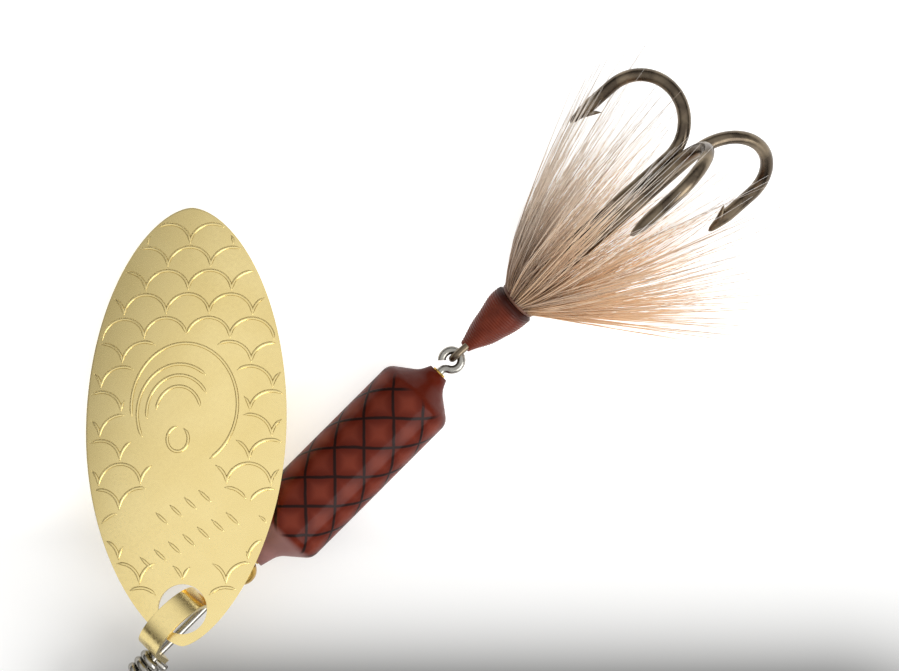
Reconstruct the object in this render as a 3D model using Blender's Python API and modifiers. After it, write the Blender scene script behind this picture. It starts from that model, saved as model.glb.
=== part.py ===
"""In-line spinner lure: a wire shaft that carries a blade on a folded clevis, two bearing beads, a painted
body that turns on a brass tube, and a hackle-dressed treble hook that swings in the shaft's rear loop.

The lure lies on a table at z = 0. +X runs along the shaft from the line tie to the hook, and the blade
lies out towards +Y. Sizes are in metres. Every moving piece has its origin, or its empty, on its joint.
"""

import math

import bmesh
import bpy
import numpy as np
from mathutils import Matrix, Vector

MM = 0.001

# Clearances
RUNNING_GAP = 0.05 * MM  # between pieces that turn on, or bear against, each other
TOUCHING_GAP = 0.02 * MM  # between pieces that are soldered or bound together

# Shaft wire
WIRE_RADIUS = 0.25 * MM
TIE_LOOP_RADIUS = 1.3 * MM  # centreline of the loop that the line is tied to
LINK_LOOP_RADIUS = 0.58 * MM  # centreline of the loop that holds the hook's eye
LOOP_LEAD = 1.62  # of a loop's radius, from where its wire leaves the axis to its centre
LOOP_TURN_IN = math.radians(65)  # how far the wire turns as it runs into a loop
LOOP_ROUND = math.radians(292)  # how far it then goes round
WRAP_TURNS = 2.75  # of the wire's end round the shaft, behind the line tie
TAG_LENGTH = 1.0 * MM  # of the wire's cut end, left standing off the shaft
TAG_LEAN = 0.04  # of the cut end towards the body, as a slope, which stays clear of the turning clevis
TAG_RISE = 0.3  # of the cut end away from the shaft, as a slope

# Body and its tube
BODY_RADIUS = 2.47 * MM
BODY_STRAIGHT = 11.3 * MM  # from shoulder to shoulder
FRONT_CONE = 1.3 * MM
FRONT_NUB = 1.15 * MM
REAR_CONE = 1.15 * MM
REAR_NUB = 0.65 * MM
NUB_RADIUS = 0.64 * MM
NUB_FLARE = 0.3 * MM  # that a nub grows by before its cone
SHOULDER_FILLET = 0.45 * MM
TUBE_WALL = 0.13 * MM
TUBE_REACH = 0.1 * MM  # of the tube past each end of the body

# Bearing beads
BEAD_RADIUS = 0.9 * MM

# Clevis, a strip folded into a U with an ear at each end
STRIP_THICKNESS = 0.32 * MM
STRIP_WIDTH = 1.5 * MM
EAR_TRIM = 0.01 * MM  # taken off each side of the strip with the ears
CLEVIS_REACH = 4.4 * MM  # from the shaft's axis to the middle of the strip at the bow
CLEVIS_BEND = 2.1 * MM  # radius of the bow at the middle of the strip
CLEVIS_LEAN = math.radians(14)  # of the bow towards +Y

# Blade
BLADE_LENGTH = 26.5 * MM
BLADE_WIDTH = 11.9 * MM
BLADE_THICKNESS = 0.32 * MM
FREE_END_POINTEDNESS = 0.58  # 0.5 is an ellipse, and more is sharper
HOLE_END_POINTEDNESS = 0.66
BLADE_CROWN_LENGTHWISE = 1.3 * MM
BLADE_CROWN_CROSSWISE = 0.9 * MM
HOLE_RADIUS = 1.45 * MM
HOLE_MARGIN = 0.7 * MM  # of metal between the hole and the blade's near tip
HOLE_AFT = 0.95 * MM  # from the bow's centre back to the middle of the hole
BLADE_BELOW_BOW = 0.78 * MM  # from the strip's inner face at the bow down to the middle of the blade
BLADE_YAW = math.radians(44.2)  # of the blade's length, from the shaft round towards +Y
BLADE_ROLL = math.radians(6)  # that lifts the edge beside the body

# Treble hook
HOOK_WIRE = 0.4 * MM  # radius
EYE_WIRE = 0.22 * MM  # radius, where the wire is drawn thin for the eye
EYE_RADIUS = 0.52 * MM  # centreline
EYE_OPEN_HALF = math.radians(62)  # half of the gap that the eye leaves towards the shanks
EYE_SPREAD = 2.4 * RUNNING_GAP  # that the wires leaving the eye stand off beyond touching
PINCH_SPREAD = 1.5 * RUNNING_GAP  # the same, where the neck starts
NECK_START = 0.9 * MM  # from the swing axis to where the two shanks leave the eye
NECK_END = 2.3 * MM  # and to where they lie side by side at their full thickness
GAPE = 6.1 * MM  # from the shank's axis to the spear's
DOUBLE_SHANK = 17.35 * MM  # from the swing axis to the start of the bend
SINGLE_SHANK = 18.7 * MM
SPEAR = 3.35 * MM
POINT_LENGTH = 1.5 * MM
POINT_SHARES = (0.95, 0.15)  # of the wire's radius, where the point starts and ends
BARB_BACK = 1.7 * MM  # from the point
BARB_LENGTH = 0.75 * MM
BARB_RADIUS = 0.2 * MM
BARB_TIP_RADIUS = 0.03 * MM
BARB_OFFSET = 0.33 * MM  # of the barb's middle from the spear's, towards the shank
BARB_SLOPE = math.radians(28)
HOOK_ANGLES = {"A": math.radians(-16), "B": math.radians(-136), "C": math.radians(104)}
HOOK_YAW = math.radians(-3.6)
HOOK_PITCH = math.radians(15)  # the dressing holds the bends up off the table

# Dressing: thread head, wound quill and hackle
HEAD_START = 0.95 * MM  # from the swing axis
HEAD_LENGTH = 3.8 * MM
HEAD_TIP_RADIUS = 0.66 * MM
HEAD_RADIUS = 1.36 * MM
HEAD_COLLAR = 0.15 * MM  # the step down at the head's fat end
HEAD_TIP_WALL = 0.09 * MM
QUILL_LENGTH = 0.7 * MM
QUILL_RADIUS = 1.24 * MM
QUILL_TURNS = 3
QUILL_RIDGE_SHARE = 0.98  # of half the pitch, so that neighbouring turns meet in a groove
HACKLE_LENGTH = 17.0 * MM  # along the fibres
HACKLE_THICKNESS = 0.3 * MM
HACKLE_SPREAD = math.radians(40.3)
HACKLE_SPREAD_SWAY = math.radians(5.8)  # wider towards -Y, narrower towards +Y
HACKLE_CURVE = 2.2 * MM  # length over which the fibres bend out to their full spread
HACKLE_OVER_BUNDLE = 0.6 * HACKLE_THICKNESS  # of the skirt's first ring over the running gap
FIRST_STRIDE = 0.35  # of the others, so that the bend at the skirt's root is finer

# Places along the shaft, measured from the middle of the body's straight part
BODY_FRONT = -BODY_STRAIGHT / 2 - FRONT_CONE - FRONT_NUB
BODY_REAR = BODY_STRAIGHT / 2 + REAR_CONE + REAR_NUB
BORE_RADIUS = WIRE_RADIUS + RUNNING_GAP
TUBE_RADIUS = BORE_RADIUS + TUBE_WALL
TUBE_FRONT = BODY_FRONT - TUBE_REACH
TUBE_REAR = BODY_REAR + TUBE_REACH
BEAD_HALF = math.sqrt(BEAD_RADIUS**2 - BORE_RADIUS**2)
REAR_BEAD = TUBE_FRONT - RUNNING_GAP - BEAD_HALF
FRONT_BEAD = REAR_BEAD - RUNNING_GAP - 2 * BEAD_HALF
CLEVIS_REAR = FRONT_BEAD - BEAD_HALF - RUNNING_GAP
CLEVIS_MIDDLE = CLEVIS_REAR - STRIP_THICKNESS / 2 - CLEVIS_BEND
CLEVIS_FRONT = CLEVIS_MIDDLE - CLEVIS_BEND - STRIP_THICKNESS / 2
SHAFT_HEIGHT = BODY_RADIUS
BOW_CENTRE = CLEVIS_REACH - CLEVIS_BEND  # above the shaft's axis
BLADE_SEAT = CLEVIS_REACH - STRIP_THICKNESS / 2 - BLADE_BELOW_BOW
LINK_CENTRE = TUBE_REAR + RUNNING_GAP + LINK_LOOP_RADIUS * LOOP_LEAD
SWING_AXIS = LINK_CENTRE + LINK_LOOP_RADIUS
EYE_CENTRE = EYE_RADIUS - WIRE_RADIUS - EYE_WIRE - RUNNING_GAP / 2
SHANK_OFFSET = (HOOK_WIRE + TOUCHING_GAP / 2) / math.sin(math.radians(60))
BUNDLE_RADIUS = SHANK_OFFSET + HOOK_WIRE
QUILL_START = HEAD_START + HEAD_LENGTH + TOUCHING_GAP
HACKLE_START = QUILL_START + QUILL_LENGTH + TOUCHING_GAP


# Scene, materials and objects


def clear_scene():
    for obj in list(bpy.data.objects):
        bpy.data.objects.remove(obj, do_unlink=True)
    for collection in list(bpy.data.collections):
        bpy.data.collections.remove(collection)


def new_collection(name):
    collection = bpy.data.collections.new(name)
    bpy.context.scene.collection.children.link(collection)
    return collection


def material(name, colour, roughness, metallic):
    """A Principled material; colour is linear red, green and blue."""
    made = bpy.data.materials.new(name)
    made.use_nodes = True
    shader = made.node_tree.nodes["Principled BSDF"]
    shader.inputs["Base Color"].default_value = (*colour, 1.0)
    shader.inputs["Roughness"].default_value = roughness
    shader.inputs["Metallic"].default_value = metallic
    return made


def make_materials():
    """The finish of each slot: colour, roughness and metallic."""
    return {
        "steel_wire": material("steel_wire", (0.34, 0.33, 0.31), 0.3, 1.0),
        "gold_plate": material("gold_plate", (0.80, 0.62, 0.25), 0.22, 1.0),
        "brass": material("brass", (0.78, 0.57, 0.24), 0.25, 1.0),
        "body_paint": material("body_paint", (0.19, 0.045, 0.025), 0.15, 0.0),
        "hook_bronze": material("hook_bronze", (0.10, 0.075, 0.05), 0.35, 1.0),
        "thread_lacquer": material("thread_lacquer", (0.16, 0.03, 0.018), 0.3, 0.0),
        "quill": material("quill", (0.30, 0.15, 0.08), 0.5, 0.0),
        "hackle": material("hackle", (0.62, 0.40, 0.22), 0.6, 0.0),
    }


def link_object(name, data, parts, surface=None, place=None, parent=None):
    """A new object in a collection, standing at place in the lure's frame and parented where asked."""
    obj = bpy.data.objects.new(name, data)
    parts.objects.link(obj)
    if surface:
        data.materials.append(surface)
    obj.parent = parent
    obj.matrix_basis = (lure_place(parent).inverted() if parent else Matrix()) @ (place or Matrix())
    return obj


def lure_place(obj):
    """An object's matrix in the lure's frame, through its parents."""
    if obj.parent is None:
        return obj.matrix_basis.copy()
    return lure_place(obj.parent) @ obj.matrix_basis


def cutter(obj):
    obj.hide_render = True
    obj.display_type = "WIRE"
    return obj


def as_mesh(obj):
    """Replace a curve object by a mesh object with its caps welded on."""
    bpy.context.view_layer.update()
    graph = bpy.context.evaluated_depsgraph_get()
    data = bpy.data.meshes.new_from_object(obj.evaluated_get(graph))
    form = bmesh.new()
    form.from_mesh(data)
    bmesh.ops.remove_doubles(form, verts=form.verts, dist=1e-7)
    bmesh.ops.recalc_face_normals(form, faces=form.faces)
    form.to_mesh(data)
    form.free()
    name, parent, place = obj.name, obj.parent, obj.matrix_basis.copy()
    collection = obj.users_collection[0]
    bpy.data.objects.remove(obj, do_unlink=True)
    made = bpy.data.objects.new(name, data)
    collection.objects.link(made)
    made.parent = parent
    made.matrix_basis = place
    return made


def boolean(obj, other, operation):
    modifier = obj.modifiers.new(f"{operation.lower()}_{other.name}", "BOOLEAN")
    modifier.operation = operation
    modifier.object = other
    modifier.solver = "EXACT"


def turned(name, outline, steps, parts, surface, place, parent):
    """A closed outline of (along, radius) points turned about the X axis."""
    data = bpy.data.meshes.new(name)
    points = [(x, 0.0, r) for x, r in reversed(outline)]
    edges = [(i, (i + 1) % len(points)) for i in range(len(points))]
    data.from_pydata(points, edges, [])
    obj = link_object(name, data, parts, surface, place, parent)
    screw = obj.modifiers.new("turn", "SCREW")
    screw.axis = "X"
    screw.steps = steps
    screw.render_steps = steps
    screw.use_merge_vertices = True
    screw.merge_threshold = 1e-7
    screw.use_smooth_shade = True
    return obj


def wire(name, points, radius, parts, surface, place, parent, thickness=None):
    """A round wire through the points; thickness gives each point's share of the radius."""
    data = bpy.data.curves.new(name, "CURVE")
    data.dimensions = "3D"
    data.bevel_depth = radius
    data.bevel_resolution = 2
    data.use_fill_caps = True
    spline = data.splines.new("POLY")
    spline.points.add(len(points) - 1)
    for index, (spot, point) in enumerate(zip(points, spline.points)):
        point.co = (*spot, 1.0)
        if thickness:
            point.radius = thickness[index]
    return link_object(name, data, parts, surface, place, parent)


def flat_plate(name, outline, thickness, parts, place, parent=None):
    """A closed outline of (x, y) points made a plate, centred on its plane."""
    data = bpy.data.curves.new(name, "CURVE")
    data.dimensions = "2D"
    data.fill_mode = "BOTH"
    data.extrude = thickness / 2
    spline = data.splines.new("POLY")
    spline.points.add(len(outline) - 1)
    spline.use_cyclic_u = True
    for (x, y), point in zip(outline, spline.points):
        point.co = (x, y, 0.0, 1.0)
    return as_mesh(link_object(name, data, parts, None, place, parent))


def arc(centre, radius, start, end, count):
    """count + 1 points (x, y) round a centre, angles in radians."""
    angles = np.linspace(start, end, count + 1)
    return [(centre[0] + radius * math.cos(a), centre[1] + radius * math.sin(a)) for a in angles]


def filleted(outline, radius, count=4):
    """An open outline with each inner corner replaced by an arc-like run, within half of its sides."""
    rounded = [outline[0]]
    for before, corner, after in zip(outline, outline[1:], outline[2:]):
        corner = Vector(corner)
        back, ahead = Vector(before) - corner, Vector(after) - corner
        reach = min(radius, back.length / 2, ahead.length / 2)
        start = corner + back.normalized() * reach
        end = corner + ahead.normalized() * reach
        for step in np.linspace(0, 1, count + 1):
            rounded.append(tuple(start.lerp(corner, step).lerp(corner.lerp(end, step), step)))
    return rounded + [outline[-1]]


def smooth_step(share):
    share = min(max(share, 0.0), 1.0)
    return share * share * (3 - 2 * share)


# Shaft wire


def loop_run(radius, mirror):
    """(x, y) points that leave the X axis and run round a loop centred on the origin, nearly closed.

    The wire comes along the axis from -X, turns in by LOOP_TURN_IN to meet the loop, and goes round.
    """
    meet = 1.5 * math.pi - LOOP_TURN_IN
    spot = (radius * math.cos(meet), radius * math.sin(meet))
    bend = -spot[1] / (1 - math.cos(LOOP_TURN_IN))
    lead = spot[0] - bend * math.sin(LOOP_TURN_IN)
    run = arc((lead, -bend), bend, math.pi / 2, math.pi / 2 - LOOP_TURN_IN, 5)
    run += arc((0, 0), radius, meet, meet + LOOP_ROUND, 24)[1:]
    return [(x, y * mirror) for x, y in run]


def shaft_points():
    """The one wire's centreline: from the link loop's end, along the shaft, round the tie and its wrap."""
    rear = [(LINK_CENTRE + x, y, 0.0) for x, y in reversed(loop_run(LINK_LOOP_RADIUS, 1))]
    pitch = 2 * WIRE_RADIUS + TOUCHING_GAP
    wrap_end = CLEVIS_FRONT - RUNNING_GAP - WIRE_RADIUS
    wrap_start = wrap_end - WRAP_TURNS * pitch
    tie_centre = wrap_start - TIE_LOOP_RADIUS * LOOP_LEAD
    front = [(tie_centre - x, y, 0.0) for x, y in loop_run(TIE_LOOP_RADIUS, -1)]
    coil = 2 * WIRE_RADIUS + 2 * TOUCHING_GAP
    steps = round(WRAP_TURNS * 14)
    last = Vector(front[-1])
    wrap = []
    for step in range(1, steps + 1):
        turned_by = 2 * math.pi * WRAP_TURNS * step / steps
        x = wrap_start + pitch * WRAP_TURNS * step / steps
        spot = Vector((x, -coil * math.cos(turned_by), coil * math.sin(turned_by)))
        settle = smooth_step(step / 6)
        wrap.append(tuple(last.lerp(spot, settle)))
    end_angle = 2 * math.pi * WRAP_TURNS
    onward = Vector((0, math.sin(end_angle), math.cos(end_angle)))
    outward = Vector((0, -math.cos(end_angle), math.sin(end_angle)))
    away = (Vector((TAG_LEAN, 0, 0)) + onward + TAG_RISE * outward).normalized()
    tag = [tuple(Vector(wrap[-1]) + away * TAG_LENGTH * share) for share in (0.5, 1.0)]
    return rear + front + wrap + tag


def make_shaft(parts, surfaces, root):
    place = Matrix.Translation((0, 0, SHAFT_HEIGHT))
    return wire("shaft_wire", shaft_points(), WIRE_RADIUS, parts, surfaces["steel_wire"], place, root)


# Body, tube and beads


def body_outline():
    """The body's outside from front to rear as (along, radius), from the middle of its straight part."""
    shoulder = BODY_STRAIGHT / 2
    flare = NUB_RADIUS + NUB_FLARE
    outer = [
        (BODY_FRONT, NUB_RADIUS),
        (BODY_FRONT + FRONT_NUB, flare),
        (-shoulder, BODY_RADIUS),
        (shoulder, BODY_RADIUS),
        (shoulder + REAR_CONE, flare),
        (BODY_REAR, NUB_RADIUS),
    ]
    return filleted(outer, SHOULDER_FILLET)


def make_body(parts, surfaces, root):
    middle = (BODY_FRONT + BODY_REAR) / 2
    place = Matrix.Translation((middle, 0, SHAFT_HEIGHT))
    bore = TUBE_RADIUS + TOUCHING_GAP
    outline = body_outline() + [(BODY_REAR, bore), (BODY_FRONT, bore)]
    outline = [(x - middle, r) for x, r in outline]
    turned("body_shell", outline, 40, parts, surfaces["body_paint"], place, root)
    half = (TUBE_REAR - TUBE_FRONT) / 2
    tube = [(-half, TUBE_RADIUS), (half, TUBE_RADIUS), (half, BORE_RADIUS), (-half, BORE_RADIUS)]
    turned("body_core_tube", tube, 24, parts, surfaces["brass"], place, root)


def make_bead(name, x, parts, surfaces, root):
    """A bored ball, its poles cut off by the bore."""
    reach = math.acos(BEAD_HALF / BEAD_RADIUS)
    ball = arc((0, 0), BEAD_RADIUS, math.pi - reach, reach, 12)
    place = Matrix.Translation((x, 0, SHAFT_HEIGHT))
    return turned(name, ball, 24, parts, surfaces["brass"], place, root)


# Clevis


def clevis_place():
    """The clevis's matrix in the lure's frame: on the shaft, its bow leaning over."""
    return Matrix.Translation((CLEVIS_MIDDLE, 0, SHAFT_HEIGHT)) @ Matrix.Rotation(-CLEVIS_LEAN, 4, "X")


def make_clevis(parts, cutters, surfaces, root):
    """The folded strip: a U outline made as wide as the strip, its ears rounded and bored for the shaft."""
    place = clevis_place()
    upright = place @ Matrix.Rotation(math.pi / 2, 4, "X")
    half_width, half = STRIP_WIDTH / 2, STRIP_THICKNESS / 2
    outer = arc((0, BOW_CENTRE), CLEVIS_BEND + half, math.pi, 0, 16)
    inner = arc((0, BOW_CENTRE), CLEVIS_BEND - half, 0, math.pi, 16)
    outer = [(-CLEVIS_BEND - half, -half_width)] + outer + [(CLEVIS_BEND + half, -half_width)]
    inner = [(CLEVIS_BEND - half, -half_width)] + inner + [(-CLEVIS_BEND + half, -half_width)]
    clevis = flat_plate("clevis", outer + inner, STRIP_WIDTH, parts, upright, root)
    clevis.data.materials.append(surfaces["gold_plate"])
    past = CLEVIS_BEND + STRIP_THICKNESS
    top = CLEVIS_REACH + STRIP_THICKNESS
    wide = half_width - EAR_TRIM
    ends = arc((0, 0), wide, math.pi, 2 * math.pi, 12) + [(wide, top), (-wide, top)]
    across = place @ Matrix.Rotation(math.pi / 2, 4, "Z") @ Matrix.Rotation(math.pi / 2, 4, "X")
    ear_shape = cutter(flat_plate("ear_shape", ends, 2 * past, cutters, across, root))
    boolean(clevis, ear_shape, "INTERSECT")
    bore = round_cutter("ear_bore", BORE_RADIUS, 4 * past, 24, cutters, place, "X", root)
    boolean(clevis, bore, "DIFFERENCE")
    return clevis


def round_cutter(name, radius, length, sides, cutters, place, axis, parent):
    form = bmesh.new()
    bmesh.ops.create_cone(
        form, cap_ends=True, segments=sides, radius1=radius, radius2=radius, depth=length
    )
    data = bpy.data.meshes.new(name)
    form.to_mesh(data)
    form.free()
    turn = Matrix.Rotation(math.pi / 2, 4, "Y") if axis == "X" else Matrix()
    return cutter(link_object(name, data, cutters, None, place @ turn, parent))


# Blade


def blade_rise(along, across):
    """Height of the blade's middle surface over the hole's middle; along runs from the hole's middle."""
    half_length, half_width = BLADE_LENGTH / 2, BLADE_WIDTH / 2
    middle = half_length - HOLE_RADIUS - HOLE_MARGIN
    bow = BLADE_CROWN_LENGTHWISE / half_length**2
    arch = BLADE_CROWN_CROSSWISE / half_width**2
    return bow * (middle**2 - (along - middle) ** 2) - arch * across**2


def blade_spot(u, v):
    """Point of the blade's middle surface for u and v in -1..1: a square laid onto the blade's outline."""
    disc_u = u * math.sqrt(1 - v * v / 2)
    disc_v = v * math.sqrt(1 - u * u / 2)
    pointedness = FREE_END_POINTEDNESS if disc_u > 0 else HOLE_END_POINTEDNESS
    narrowing = max(1 - disc_u * disc_u, 1e-9) ** (pointedness - 0.5)
    along = BLADE_LENGTH / 2 * (1 + disc_u) - HOLE_RADIUS - HOLE_MARGIN
    across = BLADE_WIDTH / 2 * disc_v * narrowing
    return Vector((along, across, blade_rise(along, across)))


def blade_place(slope):
    """The blade's matrix in the lure's frame: its hole on the clevis, its free end sloping down."""
    hole = clevis_place() @ Vector((HOLE_AFT, 0, BLADE_SEAT))
    turn = Matrix.Rotation(BLADE_YAW, 4, "Z") @ Matrix.Rotation(slope, 4, "Y")
    return Matrix.Translation(hole) @ turn @ Matrix.Rotation(-BLADE_ROLL, 4, "X")


def rests_clear(slope, spots):
    """Whether points of the blade's middle surface, at a slope, stand clear of the table and the body."""
    outline = body_outline()
    along, radius = [x for x, _ in outline], [r for _, r in outline]
    place = blade_place(slope)
    for spot in spots:
        x, y, z = place @ spot
        body_reach = np.interp(x, along, radius, left=0.0, right=0.0)
        if z < BLADE_THICKNESS / 2 + TOUCHING_GAP:
            return False
        if math.hypot(y, z - SHAFT_HEIGHT) < body_reach + BLADE_THICKNESS / 2 + RUNNING_GAP:
            return False
    return True


def resting_slope():
    """The slope at which the blade just meets the table or the body, whichever comes first, by halving."""
    steps = np.linspace(-1, 1, 24)
    spots = [blade_spot(u, v) for u in steps for v in steps]
    low, high = 0.0, math.radians(60)
    for _ in range(24):
        slope = (low + high) / 2
        low, high = (slope, high) if rests_clear(slope, spots) else (low, slope)
    return low


def make_blade(parts, cutters, surfaces, hinge):
    """A crowned plate with a hole near its pointed end."""
    across, along = 14, 26
    form = bmesh.new()
    bmesh.ops.create_grid(form, x_segments=along, y_segments=across, size=1)
    for vertex in form.verts:
        vertex.co = blade_spot(vertex.co.x, vertex.co.y)
    data = bpy.data.meshes.new("blade")
    form.to_mesh(data)
    form.free()
    blade = link_object("blade", data, parts, surfaces["gold_plate"], blade_place(resting_slope()), hinge)
    solidify = blade.modifiers.new("sheet", "SOLIDIFY")
    solidify.thickness = BLADE_THICKNESS
    solidify.offset = 0
    through = 2 * (BLADE_THICKNESS + BLADE_CROWN_LENGTHWISE + BLADE_CROWN_CROSSWISE)
    hole = round_cutter("blade_hole", HOLE_RADIUS, through, 32, cutters, lure_place(blade), "Z", hinge)
    boolean(blade, hole, "DIFFERENCE")
    data.shade_smooth()
    return blade


# Treble hook, in a frame with +X along the shank, +Y level and the swing axis through the origin


def hook_place():
    turn = Matrix.Rotation(HOOK_YAW, 4, "Z") @ Matrix.Rotation(-HOOK_PITCH, 4, "Y")
    return Matrix.Translation((SWING_AXIS, 0, SHAFT_HEIGHT)) @ turn


def out_from_shank(u, v, angle):
    """A point at u along the shank's axis and v out from it, in one hook's own plane."""
    return Vector((u, v * math.cos(angle), v * math.sin(angle)))


def bend_and_spear(angle, shank):
    """(point, thickness) pairs from the start of a hook's bend to its point."""
    bend = (GAPE - SHANK_OFFSET) / 2
    curve = arc((shank, GAPE - bend), bend, -math.pi / 2, math.pi / 2, 16)
    spear = [(shank - SPEAR + POINT_LENGTH, GAPE), (shank - SPEAR, GAPE)]
    thickness = [1.0] * len(curve) + list(POINT_SHARES)
    return [(out_from_shank(u, v, angle), t) for (u, v), t in zip(curve + spear, thickness)]


def neck(angle, side):
    """(point, thickness) pairs from the eye back to where a shank lies in the bundle."""
    pinch = Vector((NECK_START, 0, side * (EYE_WIRE + PINCH_SPREAD)))
    settled = out_from_shank(NECK_END, SHANK_OFFSET, angle)
    thin = EYE_WIRE / HOOK_WIRE
    run = []
    for share in np.linspace(0, 1, 7):
        eased = smooth_step(share)
        point = pinch.lerp(settled, eased)
        point.x = NECK_START + (NECK_END - NECK_START) * share
        run.append((point, thin + (1 - thin) * eased))
    return run


def eye_run():
    """(point, thickness) pairs round the eye, which stands upright, from its lower side to its upper."""
    thin = EYE_WIRE / HOOK_WIRE
    ring = arc((EYE_CENTRE, 0), EYE_RADIUS, -EYE_OPEN_HALF, EYE_OPEN_HALF - 2 * math.pi, 22)
    waist = (EYE_CENTRE + NECK_START) / 2 + EYE_WIRE
    level = EYE_WIRE + EYE_SPREAD
    points = [(waist, -level)] + ring + [(waist, level)]
    return [(Vector((x, 0, z)), thin) for x, z in points]


def barb(name, angle, shank, cutters, hinge):
    """A spur that stands off the inner side of the spear and slopes back from the point."""
    form = bmesh.new()
    bmesh.ops.create_cone(
        form, cap_ends=True, segments=10, radius1=BARB_RADIUS, radius2=BARB_TIP_RADIUS, depth=BARB_LENGTH
    )
    data = bpy.data.meshes.new(name)
    form.to_mesh(data)
    form.free()
    spot = out_from_shank(shank - SPEAR + BARB_BACK, GAPE - BARB_OFFSET, angle)
    lean = Matrix.Rotation(math.pi / 2 + BARB_SLOPE, 4, "Y")
    place = hook_place() @ Matrix.Translation(spot) @ Matrix.Rotation(angle - math.pi / 2, 4, "X") @ lean
    return cutter(link_object(name, data, cutters, None, place, hinge))


def hook_wire(name, run, barbs, parts, surfaces, hinge):
    points = [point for point, _ in run]
    thickness = [share for _, share in run]
    bent = as_mesh(wire(name, points, HOOK_WIRE, parts, None, hook_place(), hinge, thickness))
    bent.data.materials.append(surfaces["hook_bronze"])
    bent.data.shade_smooth()
    for spur in barbs:
        boolean(bent, spur, "UNION")
    return bent


def make_hooks(parts, cutters, surfaces, hinge):
    """Two hooks bent from one wire, whose middle is the eye, and a third laid in beside their shanks."""
    a, b, c = (HOOK_ANGLES[key] for key in "ABC")
    run = list(reversed(bend_and_spear(a, DOUBLE_SHANK))) + list(reversed(neck(a, -1)))
    run += eye_run() + neck(c, 1) + bend_and_spear(c, DOUBLE_SHANK)
    spurs = [
        barb("barb_a", a, DOUBLE_SHANK, cutters, hinge),
        barb("barb_c", c, DOUBLE_SHANK, cutters, hinge),
    ]
    hook_wire("double_hook", run, spurs, parts, surfaces, hinge)
    start = NECK_END + 2 * TOUCHING_GAP
    single = [(out_from_shank(start, SHANK_OFFSET, b), 1.0)] + bend_and_spear(b, SINGLE_SHANK)
    spur = barb("barb_b", b, SINGLE_SHANK, cutters, hinge)
    hook_wire("third_hook", single, [spur], parts, surfaces, hinge)


# Dressing


def make_thread_head(parts, surfaces, hinge):
    """The lacquered cone of thread: thin round the neck of the eye, thick at the hackle."""
    end = HEAD_START + HEAD_LENGTH
    rise = HEAD_RADIUS - HEAD_TIP_RADIUS
    outer = []
    for share in np.linspace(0, 1, 9):
        along = HEAD_START + (HEAD_LENGTH - HEAD_COLLAR) * share
        outer.append((along, HEAD_TIP_RADIUS + rise * math.sin(share * math.pi / 2)))
    outer.append((end, HEAD_RADIUS - HEAD_COLLAR))
    bore = BUNDLE_RADIUS + RUNNING_GAP
    inner = [(end, bore), (NECK_END, bore), (HEAD_START, HEAD_TIP_RADIUS - HEAD_TIP_WALL)]
    surface = surfaces["thread_lacquer"]
    return turned("thread_head", outer + inner, 24, parts, surface, hook_place(), hinge)


def make_quill(parts, surfaces, hinge):
    """The hackle's stem, wound round the shanks as a ridged ring."""
    pitch = QUILL_LENGTH / QUILL_TURNS
    ridge = pitch / 2
    outer = []
    for turn in range(QUILL_TURNS):
        middle = QUILL_START + pitch * (turn + 0.5)
        outer += arc((middle, QUILL_RADIUS - ridge), ridge * QUILL_RIDGE_SHARE, math.pi, 0, 6)
    bore = BUNDLE_RADIUS + RUNNING_GAP
    inner = [(QUILL_START + QUILL_LENGTH, bore), (QUILL_START, bore)]
    surface = surfaces["quill"]
    return turned("hackle_quill", outer + inner, 24, parts, surface, hook_place(), hinge)


def hackle_line(angle, offset):
    """Points (u, v) of the skirt at one angle round the shank, offset along its own normal."""
    spread = HACKLE_SPREAD - HACKLE_SPREAD_SWAY * math.cos(angle)
    steps = 10
    u, v = HACKLE_START, BUNDLE_RADIUS + RUNNING_GAP + HACKLE_OVER_BUNDLE
    run = []
    for step in range(steps + 1):
        share = step / steps
        slant = spread * smooth_step(share * HACKLE_LENGTH / HACKLE_CURVE)
        run.append((u - offset * math.sin(slant), v + offset * math.cos(slant)))
        stride = HACKLE_LENGTH / steps * (FIRST_STRIDE if step == 0 else 1.0)
        u += stride * math.cos((slant + spread) / 2)
        v += stride * math.sin((slant + spread) / 2)
    return run


def make_hackle(parts, surfaces, hinge):
    """The hackle as one skirt, open towards the bends. Where it would pass the table it lies along it."""
    place = hook_place()
    back = place.inverted()
    sides = 28
    rings = []
    for offset, floor in ((0.5, TOUCHING_GAP), (-0.5, TOUCHING_GAP + HACKLE_THICKNESS)):
        for side in range(sides):
            angle = 2 * math.pi * side / sides
            line = []
            for u, v in hackle_line(angle, offset * HACKLE_THICKNESS):
                spot = place @ out_from_shank(u, v, angle)
                spot.z = max(spot.z, floor)
                line.append(back @ spot)
            rings.append(line)
    form = bmesh.new()
    grid = [[form.verts.new(spot) for spot in line] for line in rings]
    last = len(grid[0]) - 1
    for side in range(sides):
        after = (side + 1) % sides
        outer, outer_next = grid[side], grid[after]
        inner, inner_next = grid[side + sides], grid[after + sides]
        for step in range(last):
            form.faces.new((outer[step], outer[step + 1], outer_next[step + 1], outer_next[step]))
            form.faces.new((inner[step], inner_next[step], inner_next[step + 1], inner[step + 1]))
        form.faces.new((outer[0], outer_next[0], inner_next[0], inner[0]))
        form.faces.new((outer[last], inner[last], inner_next[last], outer_next[last]))
    bmesh.ops.recalc_face_normals(form, faces=form.faces)
    data = bpy.data.meshes.new("hackle_fibres")
    form.to_mesh(data)
    form.free()
    data.shade_smooth()
    return link_object("hackle_fibres", data, parts, surfaces["hackle"], place, hinge)


# Assembly


def joint_empty(name, place, parts, parent):
    empty = link_object(name, None, parts, None, place, parent)
    empty.empty_display_size = 1 * MM
    return empty


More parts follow.
